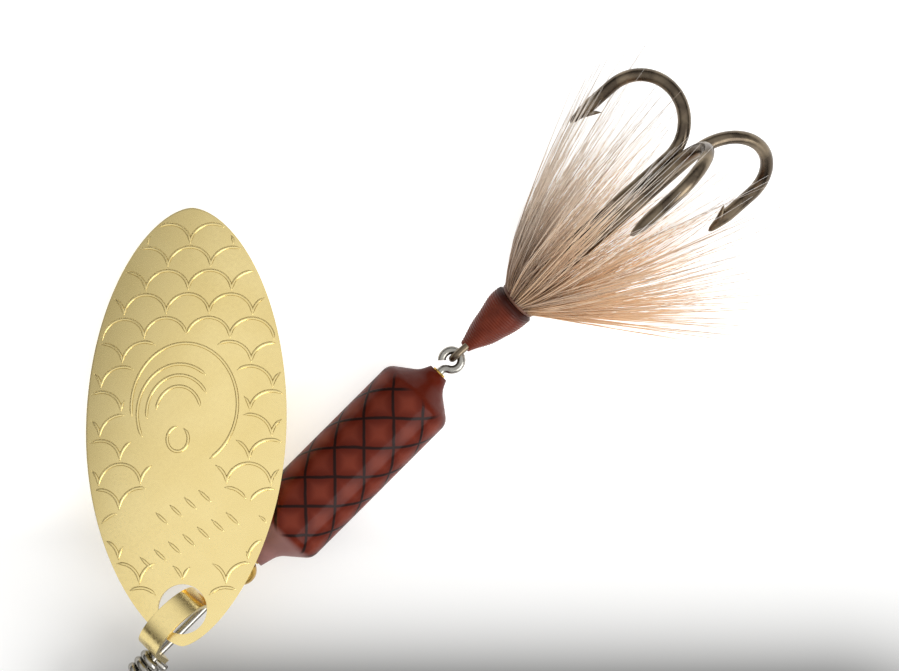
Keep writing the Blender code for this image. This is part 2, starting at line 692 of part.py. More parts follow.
def centre_over_origin(parts, root):
    """Move the whole lure so that the middle of its box stands over the origin."""
    bpy.context.view_layer.update()
    graph = bpy.context.evaluated_depsgraph_get()
    corners = []
    for obj in parts.objects:
        if obj.type != "EMPTY":
            seen = obj.evaluated_get(graph)
            mesh = seen.to_mesh()
            corners += [seen.matrix_world @ vertex.co for vertex in mesh.vertices]
            seen.to_mesh_clear()
    corners = np.array(corners)
    low, high = corners.min(axis=0), corners.max(axis=0)
    root.location = (-(low[0] + high[0]) / 2, -(low[1] + high[1]) / 2, -low[2])


def main():
    clear_scene()
    parts, cutters = new_collection("spinner_lure"), new_collection("cutters")
    surfaces = make_materials()
    root = joint_empty("lure", Matrix(), parts, None)
    make_shaft(parts, surfaces, root)
    make_body(parts, surfaces, root)
    make_bead("bearing_bead_front", FRONT_BEAD, parts, surfaces, root)
    make_bead("bearing_bead_rear", REAR_BEAD, parts, surfaces, root)
    clevis_spin = joint_empty("clevis_spin", clevis_place(), parts, root)
    make_clevis(parts, cutters, surfaces, clevis_spin)
    bow_place = clevis_place() @ Matrix.Translation((0, 0, BOW_CENTRE))
    blade_swing = joint_empty("blade_swing", bow_place, parts, clevis_spin)
    make_blade(parts, cutters, surfaces, blade_swing)
    hook_swing = joint_empty("hook_swing", hook_place(), parts, root)
    make_hooks(parts, cutters, surfaces, hook_swing)
    make_thread_head(parts, surfaces, hook_swing)
    make_quill(parts, surfaces, hook_swing)
    make_hackle(parts, surfaces, hook_swing)
    centre_over_origin(parts, root)


main()
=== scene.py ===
"""Surfaces, finishes and stage of an in-line spinner lure.

Lengths are in metres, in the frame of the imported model: +X runs along the shaft from the line tie to the
hook, and the lure lies on a floor at z = 0.
"""

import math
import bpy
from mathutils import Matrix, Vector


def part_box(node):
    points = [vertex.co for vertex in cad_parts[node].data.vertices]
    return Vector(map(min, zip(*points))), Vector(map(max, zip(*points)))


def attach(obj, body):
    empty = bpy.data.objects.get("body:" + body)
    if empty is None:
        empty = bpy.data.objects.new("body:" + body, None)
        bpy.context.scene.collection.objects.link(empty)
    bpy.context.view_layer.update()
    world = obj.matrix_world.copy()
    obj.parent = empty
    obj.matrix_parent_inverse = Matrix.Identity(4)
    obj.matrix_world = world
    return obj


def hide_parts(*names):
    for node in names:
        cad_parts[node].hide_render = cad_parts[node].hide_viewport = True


bl_info = {
    "name": "In-line Spinner Lure",
    "version": (1, 0, 0),
    "blender": (4, 5, 0),
    "location": "View3D > Sidebar > Spinner Lure",
    "description": "Makes the pieces, finishes and stage of an in-line spinner lure",
    "category": "Object",
}

import bmesh
import bpy
import numpy as np

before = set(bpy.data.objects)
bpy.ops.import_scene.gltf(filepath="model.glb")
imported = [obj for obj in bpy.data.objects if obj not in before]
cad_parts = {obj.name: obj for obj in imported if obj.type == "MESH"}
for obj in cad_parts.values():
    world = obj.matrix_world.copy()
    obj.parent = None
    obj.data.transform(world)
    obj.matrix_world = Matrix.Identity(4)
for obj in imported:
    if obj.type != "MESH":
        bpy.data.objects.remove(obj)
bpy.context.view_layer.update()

MM = 0.001
TURN = 2 * math.pi

# Where the pieces lie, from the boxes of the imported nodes
BODY_LOW, BODY_HIGH = (np.array(corner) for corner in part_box("body_shell"))
TUBE_LOW, TUBE_HIGH = (np.array(corner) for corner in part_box("body_core_tube"))
BODY_RADIUS = (BODY_HIGH[2] - BODY_LOW[2]) / 2
TUBE_RADIUS = (TUBE_HIGH[2] - TUBE_LOW[2]) / 2

# Sizes of the shaft wire
WIRE_RADIUS = 0.25 * MM
RUNNING_GAP = 0.05 * MM
TOUCHING_GAP = 0.02 * MM
TIE_LOOP_RADIUS = 1.3 * MM
LINK_LOOP_RADIUS = 0.58 * MM
LOOP_LEAD = 1.62  # a loop's centre stands this many radii from where the wire turns in
LOOP_TURN_IN = math.radians(65)
LOOP_ROUND = math.radians(292)
WRAP_TURNS = 2.75
WRAP_STEPS = round(WRAP_TURNS * 14)
SETTLING_STEPS = 6  # of the wrap, over which the wire comes from the loop onto the helix
TAG_LENGTH = 1.0 * MM
TAG_LEAN = 0.04  # of the cut end towards the body, as a slope
TAG_RISE = 0.3  # of the cut end away from the shaft, as a slope
BORE_RADIUS = WIRE_RADIUS + RUNNING_GAP

# Sizes of the body, measured from the middle of its straight part
BODY_STRAIGHT = 11.3 * MM
FRONT_CONE = 1.3 * MM
FRONT_NUB = 1.15 * MM
REAR_CONE = 1.15 * MM
REAR_NUB = 0.65 * MM
NUB_RADIUS = 0.64 * MM
NUB_FLARE = 0.3 * MM
SHOULDER_ROUNDING = 0.42 * MM
TUBE_WALL = 0.13 * MM

# Sizes of the clevis
STRIP_THICKNESS = 0.32 * MM
EAR_RADIUS = 0.74 * MM
CLEVIS_BEND = 2.1 * MM
CLEVIS_REACH = 4.4 * MM
CLEVIS_LEAN = math.radians(14)
BOW_CENTRE = CLEVIS_REACH - CLEVIS_BEND

# Sizes of the blade
BLADE_LENGTH = 26.5 * MM
BLADE_WIDTH = 11.9 * MM
BLADE_THICKNESS = 0.32 * MM
FREE_END_POINTEDNESS = 0.58  # 0.5 is an ellipse, and more is sharper
HOLE_END_POINTEDNESS = 0.66
BLADE_CROWN_LENGTHWISE = 1.3 * MM
BLADE_CROWN_CROSSWISE = 0.9 * MM
HOLE_RADIUS = 1.45 * MM
HOLE_MARGIN = 0.7 * MM
HOLE_AFT = 0.95 * MM
BLADE_BELOW_BOW = 0.78 * MM
BLADE_YAW = math.radians(44.2)
BLADE_ROLL = math.radians(6)
BLADE_MIDDLE = BLADE_LENGTH / 2 - HOLE_RADIUS - HOLE_MARGIN  # from the middle of the hole

# The blade's stamping, as (along, across) from the middle of the hole
PLAIN_EDGE = 0.18 * MM  # left clear at the blade's edge
PLAIN_RIM = 0.25 * MM  # left clear round the hole
MEDALLION_MIDDLE = np.array([12.1, 0.05]) * MM
MEDALLION_REACH = np.array([3.75, 3.15]) * MM
BAND_MIDDLE = np.array([5.0, -0.2]) * MM
BAND_REACH = np.array([2.5, 4.3]) * MM
BAND_TILT = math.radians(27)
STROKE_END = np.array([0.5, 0.18]) * MM
STROKE_PITCH = 0.95 * MM
LINE_FADE = 0.35 * MM  # over which a stamped line rises from nothing

# Sizes of the hook and its dressing, measured from the swing axis
HOOK_WIRE = 0.4 * MM
EYE_WIRE = 0.22 * MM
EYE_RADIUS = 0.52 * MM
EYE_CENTRE = EYE_RADIUS - WIRE_RADIUS - EYE_WIRE - RUNNING_GAP / 2
EYE_OPEN_HALF = math.radians(62)
NECK_START = 0.9 * MM
NECK_END = 2.3 * MM
GAPE = 6.1 * MM
DOUBLE_SHANK = 17.35 * MM
SINGLE_SHANK = 18.7 * MM
SPEAR = 3.35 * MM
POINT_LENGTH = 1.5 * MM
BARB_BACK = 1.7 * MM
BARB_ROOT = np.array([-0.75, -0.1]) * MM  # from the place BARB_BACK behind the point
BARB_TIP = np.array([0.2, -0.8]) * MM
SHANK_OFFSET = (HOOK_WIRE + TOUCHING_GAP / 2) / math.sin(math.radians(60))
BUNDLE_RADIUS = SHANK_OFFSET + HOOK_WIRE
HOOK_ANGLES = {"A": math.radians(-16), "B": math.radians(-136), "C": math.radians(104)}
HOOK_YAW = math.radians(-3.6)
HOOK_PITCH = math.radians(15)
HEAD_START = 0.95 * MM
HEAD_LENGTH = 3.8 * MM
HEAD_RADIUS = 1.36 * MM
THREAD_PITCH = 0.17 * MM
WOUND_START = 0.58 * MM  # of the thread that covers the rear of the eye
WOUND_TIP_RADIUS = 0.38 * MM
QUILL_START = HEAD_START + HEAD_LENGTH + TOUCHING_GAP
QUILL_LENGTH = 0.7 * MM
QUILL_RADIUS = 1.24 * MM
QUILL_TURNS = 3

# The hackle. A barb's slant is from the shank, and runs from that at its root to that at its tip.
HACKLE_SEED = 17
TUFTS = 34
GATHERED = 0.22  # what is left at the tips of the spread between a tuft's barbs
STRAY_SHARE = 0.12  # of the barbs, which follow no tuft
INNER_SHARE = 0.36  # of the barbs, which lie closer to the shank
BARB_STATIONS, BARB_SIDES = 16, 4
ROOT_SLANT = math.radians(47.3)
TIP_SLANT = math.radians(29.3)
SIDE_SLANT = math.radians(10)  # less at the tips towards +Y, and more towards -Y
COLOURED_LENGTH = 15 * MM  # from a barb's root until it is as pale as it gets
BARB_REACH = 18.5 * MM  # along the shank, which the longest barbs stop at
STRAIGHTENING = 3.2 * MM  # over which a barb loses most of its first slant
BARB_LIFT = 0.7 * MM  # over which a barb leaves the stem

# The stage. The card's painted shadow is placed in millimetres up and across as the camera sees them.
FLOOR_GLOW = 0.55  # light that the floor gives off, which fills the shadows as a light table does
PAINTED_SHADOW_START, PAINTED_SHADOW_END = -9.9 * MM, -18.1 * MM
PAINTED_SHADOW_MIDDLE = 8.5 * MM
PAINTED_SHADOW_DEPTH = 0.81
KEY_PLACE = (0.05, -0.46, 0.3)
KEY_SIZE = 0.4
KEY_POWER = 2.0
VIEW_WIDTH = 53.4 * MM
VIEW_MIDDLE = (0.36 * MM, 1.12 * MM)  # from the swing axis
CAMERA_TURN = math.radians(-45)

# Places along the shaft
BODY_FRONT = BODY_STRAIGHT / 2 + FRONT_CONE + FRONT_NUB
AXIS_ORIGIN = np.array([BODY_LOW[0] + BODY_FRONT, BODY_LOW[1] + BODY_RADIUS, 0.0])
AXIS_HEIGHT = BODY_LOW[2] + BODY_RADIUS
CLEVIS_LOW, CLEVIS_HIGH = (np.array(corner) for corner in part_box("clevis"))
CLEVIS_MIDDLE = (CLEVIS_LOW[0] + CLEVIS_HIGH[0]) / 2 - AXIS_ORIGIN[0]
LINK_CENTRE = TUBE_HIGH[0] - AXIS_ORIGIN[0] + RUNNING_GAP + LINK_LOOP_RADIUS * LOOP_LEAD
SWING_AXIS = LINK_CENTRE + LINK_LOOP_RADIUS


def linear(hex_colour):
    """Linear red, green and blue of an sRGB hex colour."""
    srgb = np.array([int(hex_colour[start : start + 2], 16) for start in (1, 3, 5)]) / 255
    return tuple(np.where(srgb <= 0.04045, srgb / 12.92, ((srgb + 0.055) / 1.055) ** 2.4).tolist())


# Places and turns


def shifted(x, y, z):
    """Matrix that moves by x, y and z."""
    matrix = np.eye(4)
    matrix[:3, 3] = (x, y, z)
    return matrix


def turned(axis, angle):
    """Matrix that turns about X, Y or Z by the right-hand rule."""
    first, second = {"X": (1, 2), "Y": (2, 0), "Z": (0, 1)}[axis]
    matrix = np.eye(4)
    matrix[first, first] = matrix[second, second] = math.cos(angle)
    matrix[first, second], matrix[second, first] = -math.sin(angle), math.sin(angle)
    return matrix


def carried(matrix, points):
    """Points of any array shape, carried by a matrix."""
    return points @ matrix[:3, :3].T + matrix[:3, 3]


def shaft_place():
    """The middle of the body's straight part, on the shaft's axis."""
    return shifted(AXIS_ORIGIN[0], AXIS_ORIGIN[1], AXIS_HEIGHT)


def clevis_place():
    """The shaft's axis under the clevis's bow, Z towards the bow."""
    return shaft_place() @ shifted(CLEVIS_MIDDLE, 0, 0) @ turned("X", -CLEVIS_LEAN)


def hook_place():
    """X along the shank from the swing axis, Y level."""
    return shaft_place() @ shifted(SWING_AXIS, 0, 0) @ turned("Z", HOOK_YAW) @ turned("Y", -HOOK_PITCH)


def eased(share):
    """Smooth step: 3 s squared less 2 s cubed, held at 0 and 1."""
    share = np.clip(share, 0, 1)
    return share * share * (3 - 2 * share)


# Surfaces


def grid_quads(rows, columns):
    """Corner numbers of the quads of a grid whose points are numbered row by row."""
    row, column = np.meshgrid(np.arange(rows - 1), np.arange(columns - 1), indexing="ij")
    first = (row * columns + column).ravel()
    return np.stack([first, first + 1, first + columns + 1, first + columns], axis=1)


def arc_points(centre, radius, start, end, count):
    """Points of a circle in a plane: the centre plus the radius times cosine and sine."""
    angles = np.linspace(start, end, count)
    return np.stack([centre[0] + radius * np.cos(angles), centre[1] + radius * np.sin(angles)], axis=1)


def frames_along(route):
    """Two unit vectors across a route at each point, carried along it with the least turning."""
    heading = np.gradient(route, axis=0)
    heading /= np.linalg.norm(heading, axis=1, keepdims=True)
    across = np.cross(heading[0], (0.31, 0.52, 0.79))
    normals = []
    for direction in heading:
        across = across - direction * (across @ direction)
        across = across / np.linalg.norm(across)
        normals.append(across)
    normals = np.array(normals)
    return normals, np.cross(heading, normals)


def tube(route, radius, sides, flatten=1.0, upright=None):
    """A round section carried along a route: each point is the route's point plus the radius times cosine
    and sine on the two vectors across it. Both ends close in a pole. A radius may vary along the route.
    upright names the second vector, along which the section is flattened."""
    radius = np.broadcast_to(np.asarray(radius, float), len(route))
    if upright is None:
        first, second = frames_along(route)
    else:
        heading = np.gradient(route, axis=0)
        second = upright / np.linalg.norm(upright, axis=1, keepdims=True)
        first = np.cross(second, heading)
        first /= np.linalg.norm(first, axis=1, keepdims=True)
    stations = np.concatenate([[0], np.arange(len(route)), [len(route) - 1]])
    reach = np.concatenate([[0], radius, [0]])
    angles = np.linspace(0, TURN, sides + 1)
    ring = reach[:, None, None] * (
        first[stations][:, None] * np.cos(angles)[None, :, None]
        + flatten * second[stations][:, None] * np.sin(angles)[None, :, None]
    )
    points = route[stations][:, None] + ring
    return points.reshape(-1, 3), grid_quads(len(stations), sides + 1)


def lathe(profile, sides, ripple=None):
    """A profile of (along, radius) points turned about X: y and z are the radius times cosine and sine.
    ripple is a function of along and angle that is added to the radius."""
    angles = np.linspace(0, TURN, sides + 1)
    along = np.repeat(profile[:, :1], sides + 1, axis=1)
    radius = np.repeat(profile[:, 1:], sides + 1, axis=1)
    if ripple:
        radius = radius + ripple(along, angles[None, :])
    points = np.stack([along, radius * np.cos(angles), radius * np.sin(angles)], axis=2)
    spots = np.stack([along, np.broadcast_to(angles / TURN, along.shape), radius], axis=2)
    return points.reshape(-1, 3), grid_quads(len(profile), sides + 1), spots.reshape(-1, 3)


def rounded(profile, radius, count=8):
    """An open profile with each inner corner drawn into a quadratic curve that starts radius before it."""
    kept = [profile[:1]]
    for before, corner, after in zip(profile, profile[1:], profile[2:]):
        back, ahead = before - corner, after - corner
        reach = min(radius, np.linalg.norm(back) / 2, np.linalg.norm(ahead) / 2)
        start = corner + back * reach / np.linalg.norm(back)
        end = corner + ahead * reach / np.linalg.norm(ahead)
        t = np.linspace(0, 1, count)[:, None]
        kept.append(start * (1 - t) ** 2 + 2 * corner * t * (1 - t) + end * t**2)
    return np.concatenate([*kept, profile[-1:]])


def bored(flat, faces, centre, radius):
    """A flat grid with a round hole: quads whose middle is in the circle go, and the open edge's points are
    drawn out to it."""
    away = flat - centre
    distance = np.linalg.norm(away, axis=1)
    inside = np.linalg.norm(flat[faces].mean(axis=1) - centre, axis=1) < radius
    edge = np.intersect1d(faces[inside], faces[~inside])
    flat = flat.copy()
    flat[edge] = centre + away[edge] * (radius / distance[edge])[:, None]
    return flat, faces[~inside]


def joined(*meshes):
    """Several (points, faces) made one."""
    starts = np.cumsum([0] + [len(points) for points, _ in meshes[:-1]])
    return (
        np.concatenate([points for points, _ in meshes]),
        np.concatenate([faces + start for (_, faces), start in zip(meshes, starts)]),
    )


def put_piece(name, points, faces, material, body, slot, replaces=(), spots=None, closed=True):
    """A mesh object whose doubles are merged and whose faces point outwards, riding on a body.
    spots is a vector for each point, kept at the corners under the name spot, for its material."""
    used, faces = np.unique(faces, return_inverse=True)
    faces = faces.reshape(-1, 4)
    mesh = bpy.data.meshes.new(name)
    mesh.from_pydata(points[used].tolist(), [], faces.tolist())
    if spots is not None:
        held = mesh.attributes.new("spot", "FLOAT_VECTOR", "CORNER")
        held.data.foreach_set("vector", spots[used][faces.ravel()].astype(np.float32).ravel())
    form = bmesh.new()
    form.from_mesh(mesh)
    bmesh.ops.remove_doubles(form, verts=form.verts, dist=1e-8)
    if closed:
        bmesh.ops.recalc_face_normals(form, faces=form.faces)
    for face in form.faces:
        face.smooth = True
    form.to_mesh(mesh)
    form.free()
    mesh.materials.append(material)
    piece = bpy.data.objects.new(name, mesh)
    bpy.context.scene.collection.objects.link(piece)
    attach(piece, body)
    if replaces:
        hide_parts(*replaces)
    return piece


def thicken(piece, thickness, edge):
    """Gives a sheet its wall and rounds the wall's edges."""
    wall = piece.modifiers.new("wall", "SOLIDIFY")
    wall.thickness = thickness
    wall.offset = 0
    round_edge = piece.modifiers.new("edge", "BEVEL")
    round_edge.width = edge
    round_edge.segments = 3
    round_edge.limit_method = "ANGLE"
    round_edge.angle_limit = math.radians(50)


# Materials

# Kinds and settings of the nodes that come back most. A mix of colours takes its share at input 0 and the
# colours at 6 and 7, and gives output 2. A range takes its value at input 0, the ends it comes from at 1 and
# 2, and the ends it goes to, which are 0 and 1 if not given, at 3 and 4.
MATH, MIX, RANGE = "ShaderNodeMath", "ShaderNodeMix", "ShaderNodeMapRange"
RGBA = {"data_type": "RGBA"}
SMOOTH = {"interpolation_type": "SMOOTHSTEP"}
TIMES = {"operation": "MULTIPLY"}


def add_node(tree, kind, settings=None, inputs=None, out=0):
    """One node, given as one of its outputs: settings are its properties, and an input is linked if it is a
    socket and set if not."""
    node = tree.nodes.new(kind)
    for name, value in (settings or {}).items():
        setattr(node, name, value)
    for name, value in (inputs or {}).items():
        if isinstance(value, bpy.types.NodeSocket):
            tree.links.new(value, node.inputs[name])
        else:
            node.inputs[name].default_value = value
    return node.outputs if out is None else node.outputs[out]


def new_material(name, **fixed):
    """A material with one Principled shader, and the tree and shader that its nodes join."""
    made = bpy.data.materials.new(name)
    made.use_nodes = True
    tree = made.node_tree
    shader = tree.nodes["Principled BSDF"]
    for socket, value in fixed.items():
        shader.inputs[socket.replace("_", " ")].default_value = value
    return made, tree, shader


def patches(tree, size, detail):
    """Soft patches of a size in metres, as a share from 0 to 1, read at a piece's own places."""
    place = add_node(tree, "ShaderNodeTexCoord", out="Object")
    cloud = {"Vector": place, "Scale": 1 / size, "Detail": detail}
    return add_node(tree, "ShaderNodeTexNoise", {}, cloud, "Fac")


def spot_parts(tree):
    """The three parts of the vector that put_piece keeps for a material."""
    spot = add_node(tree, "ShaderNodeAttribute", {"attribute_name": "spot"}, out="Vector")
    return add_node(tree, "ShaderNodeSeparateXYZ", {}, {0: spot}, None)


def painted(tree, shader, share, first, second):
    """Links a base colour that runs from the first shade to the second with a share."""
    mix = add_node(tree, MIX, RGBA, {0: share, 6: first, 7: second}, 2)
    tree.links.new(mix, shader.inputs["Base Color"])


def unevenly_glossy(tree, shader, share, low, high):
    """Links a roughness that runs from low to high over the middle of a share."""
    rough = add_node(tree, RANGE, {}, {0: share, 1: 0.3, 2: 0.7, 3: low, 4: high})
    tree.links.new(rough, shader.inputs["Roughness"])


def bumpy(tree, shader, height, strength):
    """Links a bump of up to 0.03 mm that follows a height from 0 to 1."""
    relief = {"Height": height, "Strength": strength, "Distance": 0.03 * MM}
    tree.links.new(add_node(tree, "ShaderNodeBump", {}, relief), shader.inputs["Normal"])


def plated_gold(colours):
    """Bright gold electroplate on brass sheet: a pale yellow mirror made satin by the sheet's rolling, and a
    little browner where the plate is thin."""
    made, tree, shader = new_material("gold electroplate", Metallic=1.0)
    thin = add_node(tree, RANGE, {}, {0: patches(tree, 3.85 * MM, 3.0), 1: 0.35, 2: 0.7, 4: 0.35})
    painted(tree, shader, thin, colours.gold, colours.gold_thin)
    # Rolling leaves a grain of about 0.05 mm, drawn four times as coarse so that it shows.
    unevenly_glossy(tree, shader, patches(tree, 0.2 * MM, 2.0), 0.2, 0.32)
    return made


def wire_steel(colours):
    """Drawn stainless spring wire: a grey mirror with fine streaks from the die."""
    made, tree, shader = new_material("drawn stainless wire", Metallic=1.0)
    streak = patches(tree, 0.25 * MM, 3.0)
    painted(tree, shader, streak, colours.steel_dark, colours.steel)
    unevenly_glossy(tree, shader, streak, 0.16, 0.3)
    return made


def turned_brass(colours):
    """Turned brass: a deeper yellow than the plate, dulled in patches by tarnish."""
    made, tree, shader = new_material("turned brass", Metallic=1.0)
    cloud = patches(tree, 0.667 * MM, 2.0)
    painted(tree, shader, cloud, colours.brass_dull, colours.brass)
    unevenly_glossy(tree, shader, cloud, 0.18, 0.34)
    return made


def bronzed_steel(colours):
    """Bronze-lacquered hook steel: near black with a brown gloss, thinner and paler in patches."""
    made, tree, shader = new_material("bronzed hook steel", Metallic=1.0)
    cloud = patches(tree, 1.43 * MM, 4.0)
    thin = add_node(tree, RANGE, {}, {0: cloud, 1: 0.4, 2: 0.7})
    painted(tree, shader, thin, colours.bronze, colours.bronze_thin)
    unevenly_glossy(tree, shader, cloud, 0.2, 0.38)
    return made


def netted_lacquer(colours, sizes):
    """Sprayed lacquer over moulded ABS, shaded through a net and cleared: brick red with dark crossing lines,
    each mesh paler at its middle, under a thin gloss."""
    made, tree, shader = new_material(
        "netted lacquer under clear coat", Specular_IOR_Level=0.06, Coat_Weight=0.12, Coat_Roughness=0.14
    )
    parts = spot_parts(tree)
    # The net's count along the body wavers by a tenth of a mesh.
    cloud, scaled = patches(tree, 1.43 * MM, 2.0), {"operation": "MULTIPLY_ADD"}
    waver = add_node(tree, MATH, scaled, {0: cloud, 1: 0.1, 2: -0.05})
    along = add_node(tree, MATH, scaled, {0: parts[0], 1: 1 / sizes.net_repeat, 2: waver})
    around = add_node(tree, MATH, TIMES, {0: parts[1], 1: float(sizes.net_meshes)})
    lines = []
    for sense in ("ADD", "SUBTRACT"):
        count = add_node(tree, MATH, {"operation": sense}, {0: along, 1: around})
        # Ping-pong with a half turns each repeat into the distance from its nearest line.
        lines.append(add_node(tree, MATH, {"operation": "PINGPONG"}, {0: count, 1: 0.5}))
    nearest = add_node(tree, MATH, {"operation": "MINIMUM"}, {0: lines[0], 1: lines[1]})
    half_line = sizes.net_line / 2 / (sizes.net_repeat / math.sqrt(2))
    shoulder = BODY_STRAIGHT / 2
    # A share runs from 0 to 1 as its value goes from the first place to the second: the lines, the paler
    # middles of the meshes, and the straight part that the net covers, which fades out on both cones.
    line, middle, front, rear = (
        add_node(tree, RANGE, SMOOTH, {0: value, 1: low, 2: high})
        for value, low, high in (
            (nearest, half_line * 1.6, half_line * 0.5),
            (nearest, 0.08, 0.42),
            (parts[0], -shoulder - 0.4 * MM, -shoulder + 0.1 * MM),
            (parts[0], shoulder + 0.2 * MM, shoulder - 0.5 * MM),
        )
    )
    straight = add_node(tree, MATH, TIMES, {0: front, 1: rear})
    line = add_node(tree, MATH, TIMES, {0: line, 1: straight})
    middle = add_node(tree, MATH, TIMES, {0: middle, 1: straight})
    cell = add_node(tree, MIX, RGBA, {0: middle, 6: colours.body, 7: colours.body_pale}, 2)
    # The front cone is a greyer pink.
    cell = add_node(tree, MIX, RGBA, {0: front, 6: colours.body_cone, 7: cell}, 2)
    painted(tree, shader, line, cell, colours.net)
    mottle = patches(tree, 0.556 * MM, 3.0)
    unevenly_glossy(tree, shader, mottle, 0.36, 0.55)
    bumpy(tree, shader, add_node(tree, MATH, scaled, {0: mottle, 1: 0.12, 2: line}), 0.5)
    return made


def lacquered_thread(colours):
    """Waxed tying thread soaked in head lacquer: brick red, ridged by its turns, with an uneven gloss."""
    made, tree, shader = new_material(
        "lacquered tying thread", Specular_IOR_Level=0.1, Coat_Weight=0.15, Coat_Roughness=0.2
    )
    soak = patches(tree, 0.625 * MM, 4.0)
    mix = add_node(tree, MIX, RGBA, {0: soak, 6: colours.thread_dark, 7: colours.thread}, 2)
    # The last turns, against the hackle, are darker.
    start, end = HEAD_START + HEAD_LENGTH * 0.78, HEAD_START + HEAD_LENGTH * 0.97
    collar = add_node(tree, RANGE, SMOOTH, {0: spot_parts(tree)[0], 1: start, 2: end})
    painted(tree, shader, collar, mix, colours.thread_collar)
    unevenly_glossy(tree, shader, soak, 0.35, 0.6)
    bumpy(tree, shader, soak, 0.5)
    return made


def feather_stem(colours):
    """The horny stem of a feather: brown, mottled, half matt."""
    made, tree, shader = new_material("feather stem", IOR=1.54, Roughness=0.5)
    mottle = patches(tree, 0.4 * MM, 3.0)
    painted(tree, shader, mottle, colours.stem_dark, colours.stem)
    bumpy(tree, shader, mottle, 0.4)
    return made


def hackle_barbs(colours):
    """Cock's hackle: thin glossy barbs, brown at the root and straw to cream at the tip. Its spots hold each
    barb's share of length, its warm share, partly painted light on the -Y side where the key light stands,
    and its dark share, partly painted shade towards +Y."""
    made, tree, shader = new_material("cock hackle", Roughness=0.42, IOR=1.54, Sheen_Weight=0.15)
    length, warmth_and_painted_light, darkness_and_painted_shade = spot_parts(tree)
    # The cool root and barb colours are painted shade, the warm ones painted light.
    root = add_node(tree, MIX, RGBA, {0: warmth_and_painted_light, 6: colours.root_shaded, 7: colours.root_lit}, 2)
    middle = add_node(tree, MIX, RGBA, {0: warmth_and_painted_light, 6: colours.barb_shaded, 7: colours.barb_lit}, 2)
    near, far = (
        add_node(tree, RANGE, SMOOTH, {0: length, 1: low, 2: high})
        for low, high in ((0.02, 0.4), (0.45, 1.0))
    )
    shade = add_node(tree, MIX, RGBA, {0: near, 6: root, 7: middle}, 2)
    shade = add_node(tree, MIX, RGBA, {0: far, 6: shade, 7: colours.barb_tip}, 2)
    multiplied = {"data_type": "RGBA", "blend_type": "MULTIPLY"}
    # Dark barbs are multiplied by a colour that stands both for their own darker tone and for painted shade
    # towards +Y.
    dark = add_node(tree, MIX, multiplied, {0: darkness_and_painted_shade, 6: shade, 7: colours.barb_tone_and_shade}, 2)
    tree.links.new(dark, shader.inputs["Base Color"])
    return made


def stage_paper(colours):
    """Matt white card that also glows, as a light table does, so it swallows shadows. A painted shadow
    darkens it to grey beyond the line tie. Its fibres are too fine to show."""
    made, tree, shader = new_material(
        "card with painted shadow", Roughness=0.95, Specular_IOR_Level=0.2, Emission_Strength=FLOOR_GLOW
    )
    place = add_node(tree, "ShaderNodeTexCoord", out="Object")
    level = add_node(tree, "ShaderNodeMapping", {}, {"Vector": place, "Rotation": (0, 0, -CAMERA_TURN)})
    across, up, _ = add_node(tree, "ShaderNodeSeparateXYZ", {}, {0: level}, None)
    # The painted shadow's fall to grey is the distance past its start to a power. It comes back to white past
    # its end, and to either side of its middle.
    past = add_node(tree, RANGE, {}, {0: up, 1: PAINTED_SHADOW_START, 2: PAINTED_SHADOW_END})
    share = add_node(tree, MATH, {"operation": "POWER"}, {0: past, 1: 2.1})
    aside = add_node(tree, MATH, {"operation": "SUBTRACT"}, {0: across, 1: PAINTED_SHADOW_MIDDLE})
    aside = add_node(tree, MATH, {"operation": "ABSOLUTE"}, {0: aside})
    back, aside = (
        add_node(tree, RANGE, SMOOTH, {0: value, 1: low, 2: high})
        for value, low, high in ((up, -28 * MM, -18 * MM), (aside, 34 * MM, 18 * MM))
    )
    for part in (back, aside, PAINTED_SHADOW_DEPTH):
        share = add_node(tree, MATH, TIMES, {0: share, 1: part})
    # Before that, the painted shadow begins: the card loses what is brighter than white.
    edge = add_node(tree, RANGE, SMOOTH, {0: up, 1: -5 * MM, 2: PAINTED_SHADOW_START, 3: 1.0, 4: 0.7})
    kept = add_node(tree, MATH, {"operation": "SUBTRACT"}, {0: 1.0, 1: share})
    kept = add_node(tree, MATH, TIMES, {0: kept, 1: edge})
    mix = add_node(tree, MIX, RGBA, {0: kept, 6: (0, 0, 0, 1), 7: colours.floor}, 2)
    tree.links.new(mix, shader.inputs["Base Color"])
    tree.links.new(mix, shader.inputs["Emission Color"])
    return made


# Shapes of the pieces


def loop_route(radius, mirror):
    """(x, y) points that leave the X axis, turn in on a small arc and go round a loop about the origin."""
    meet = 1.5 * math.pi - LOOP_TURN_IN
    spot = radius * np.array([math.cos(meet), math.sin(meet)])
    bend = -spot[1] / (1 - math.cos(LOOP_TURN_IN))
    lead = spot[0] - bend * math.sin(LOOP_TURN_IN)
    turn_in = arc_points((lead, -bend), bend, math.pi / 2, math.pi / 2 - LOOP_TURN_IN, 14)
    loop = arc_points((0, 0), radius, meet, meet + LOOP_ROUND, 72)
    return np.concatenate([turn_in, loop[1:]]) * (1, mirror)


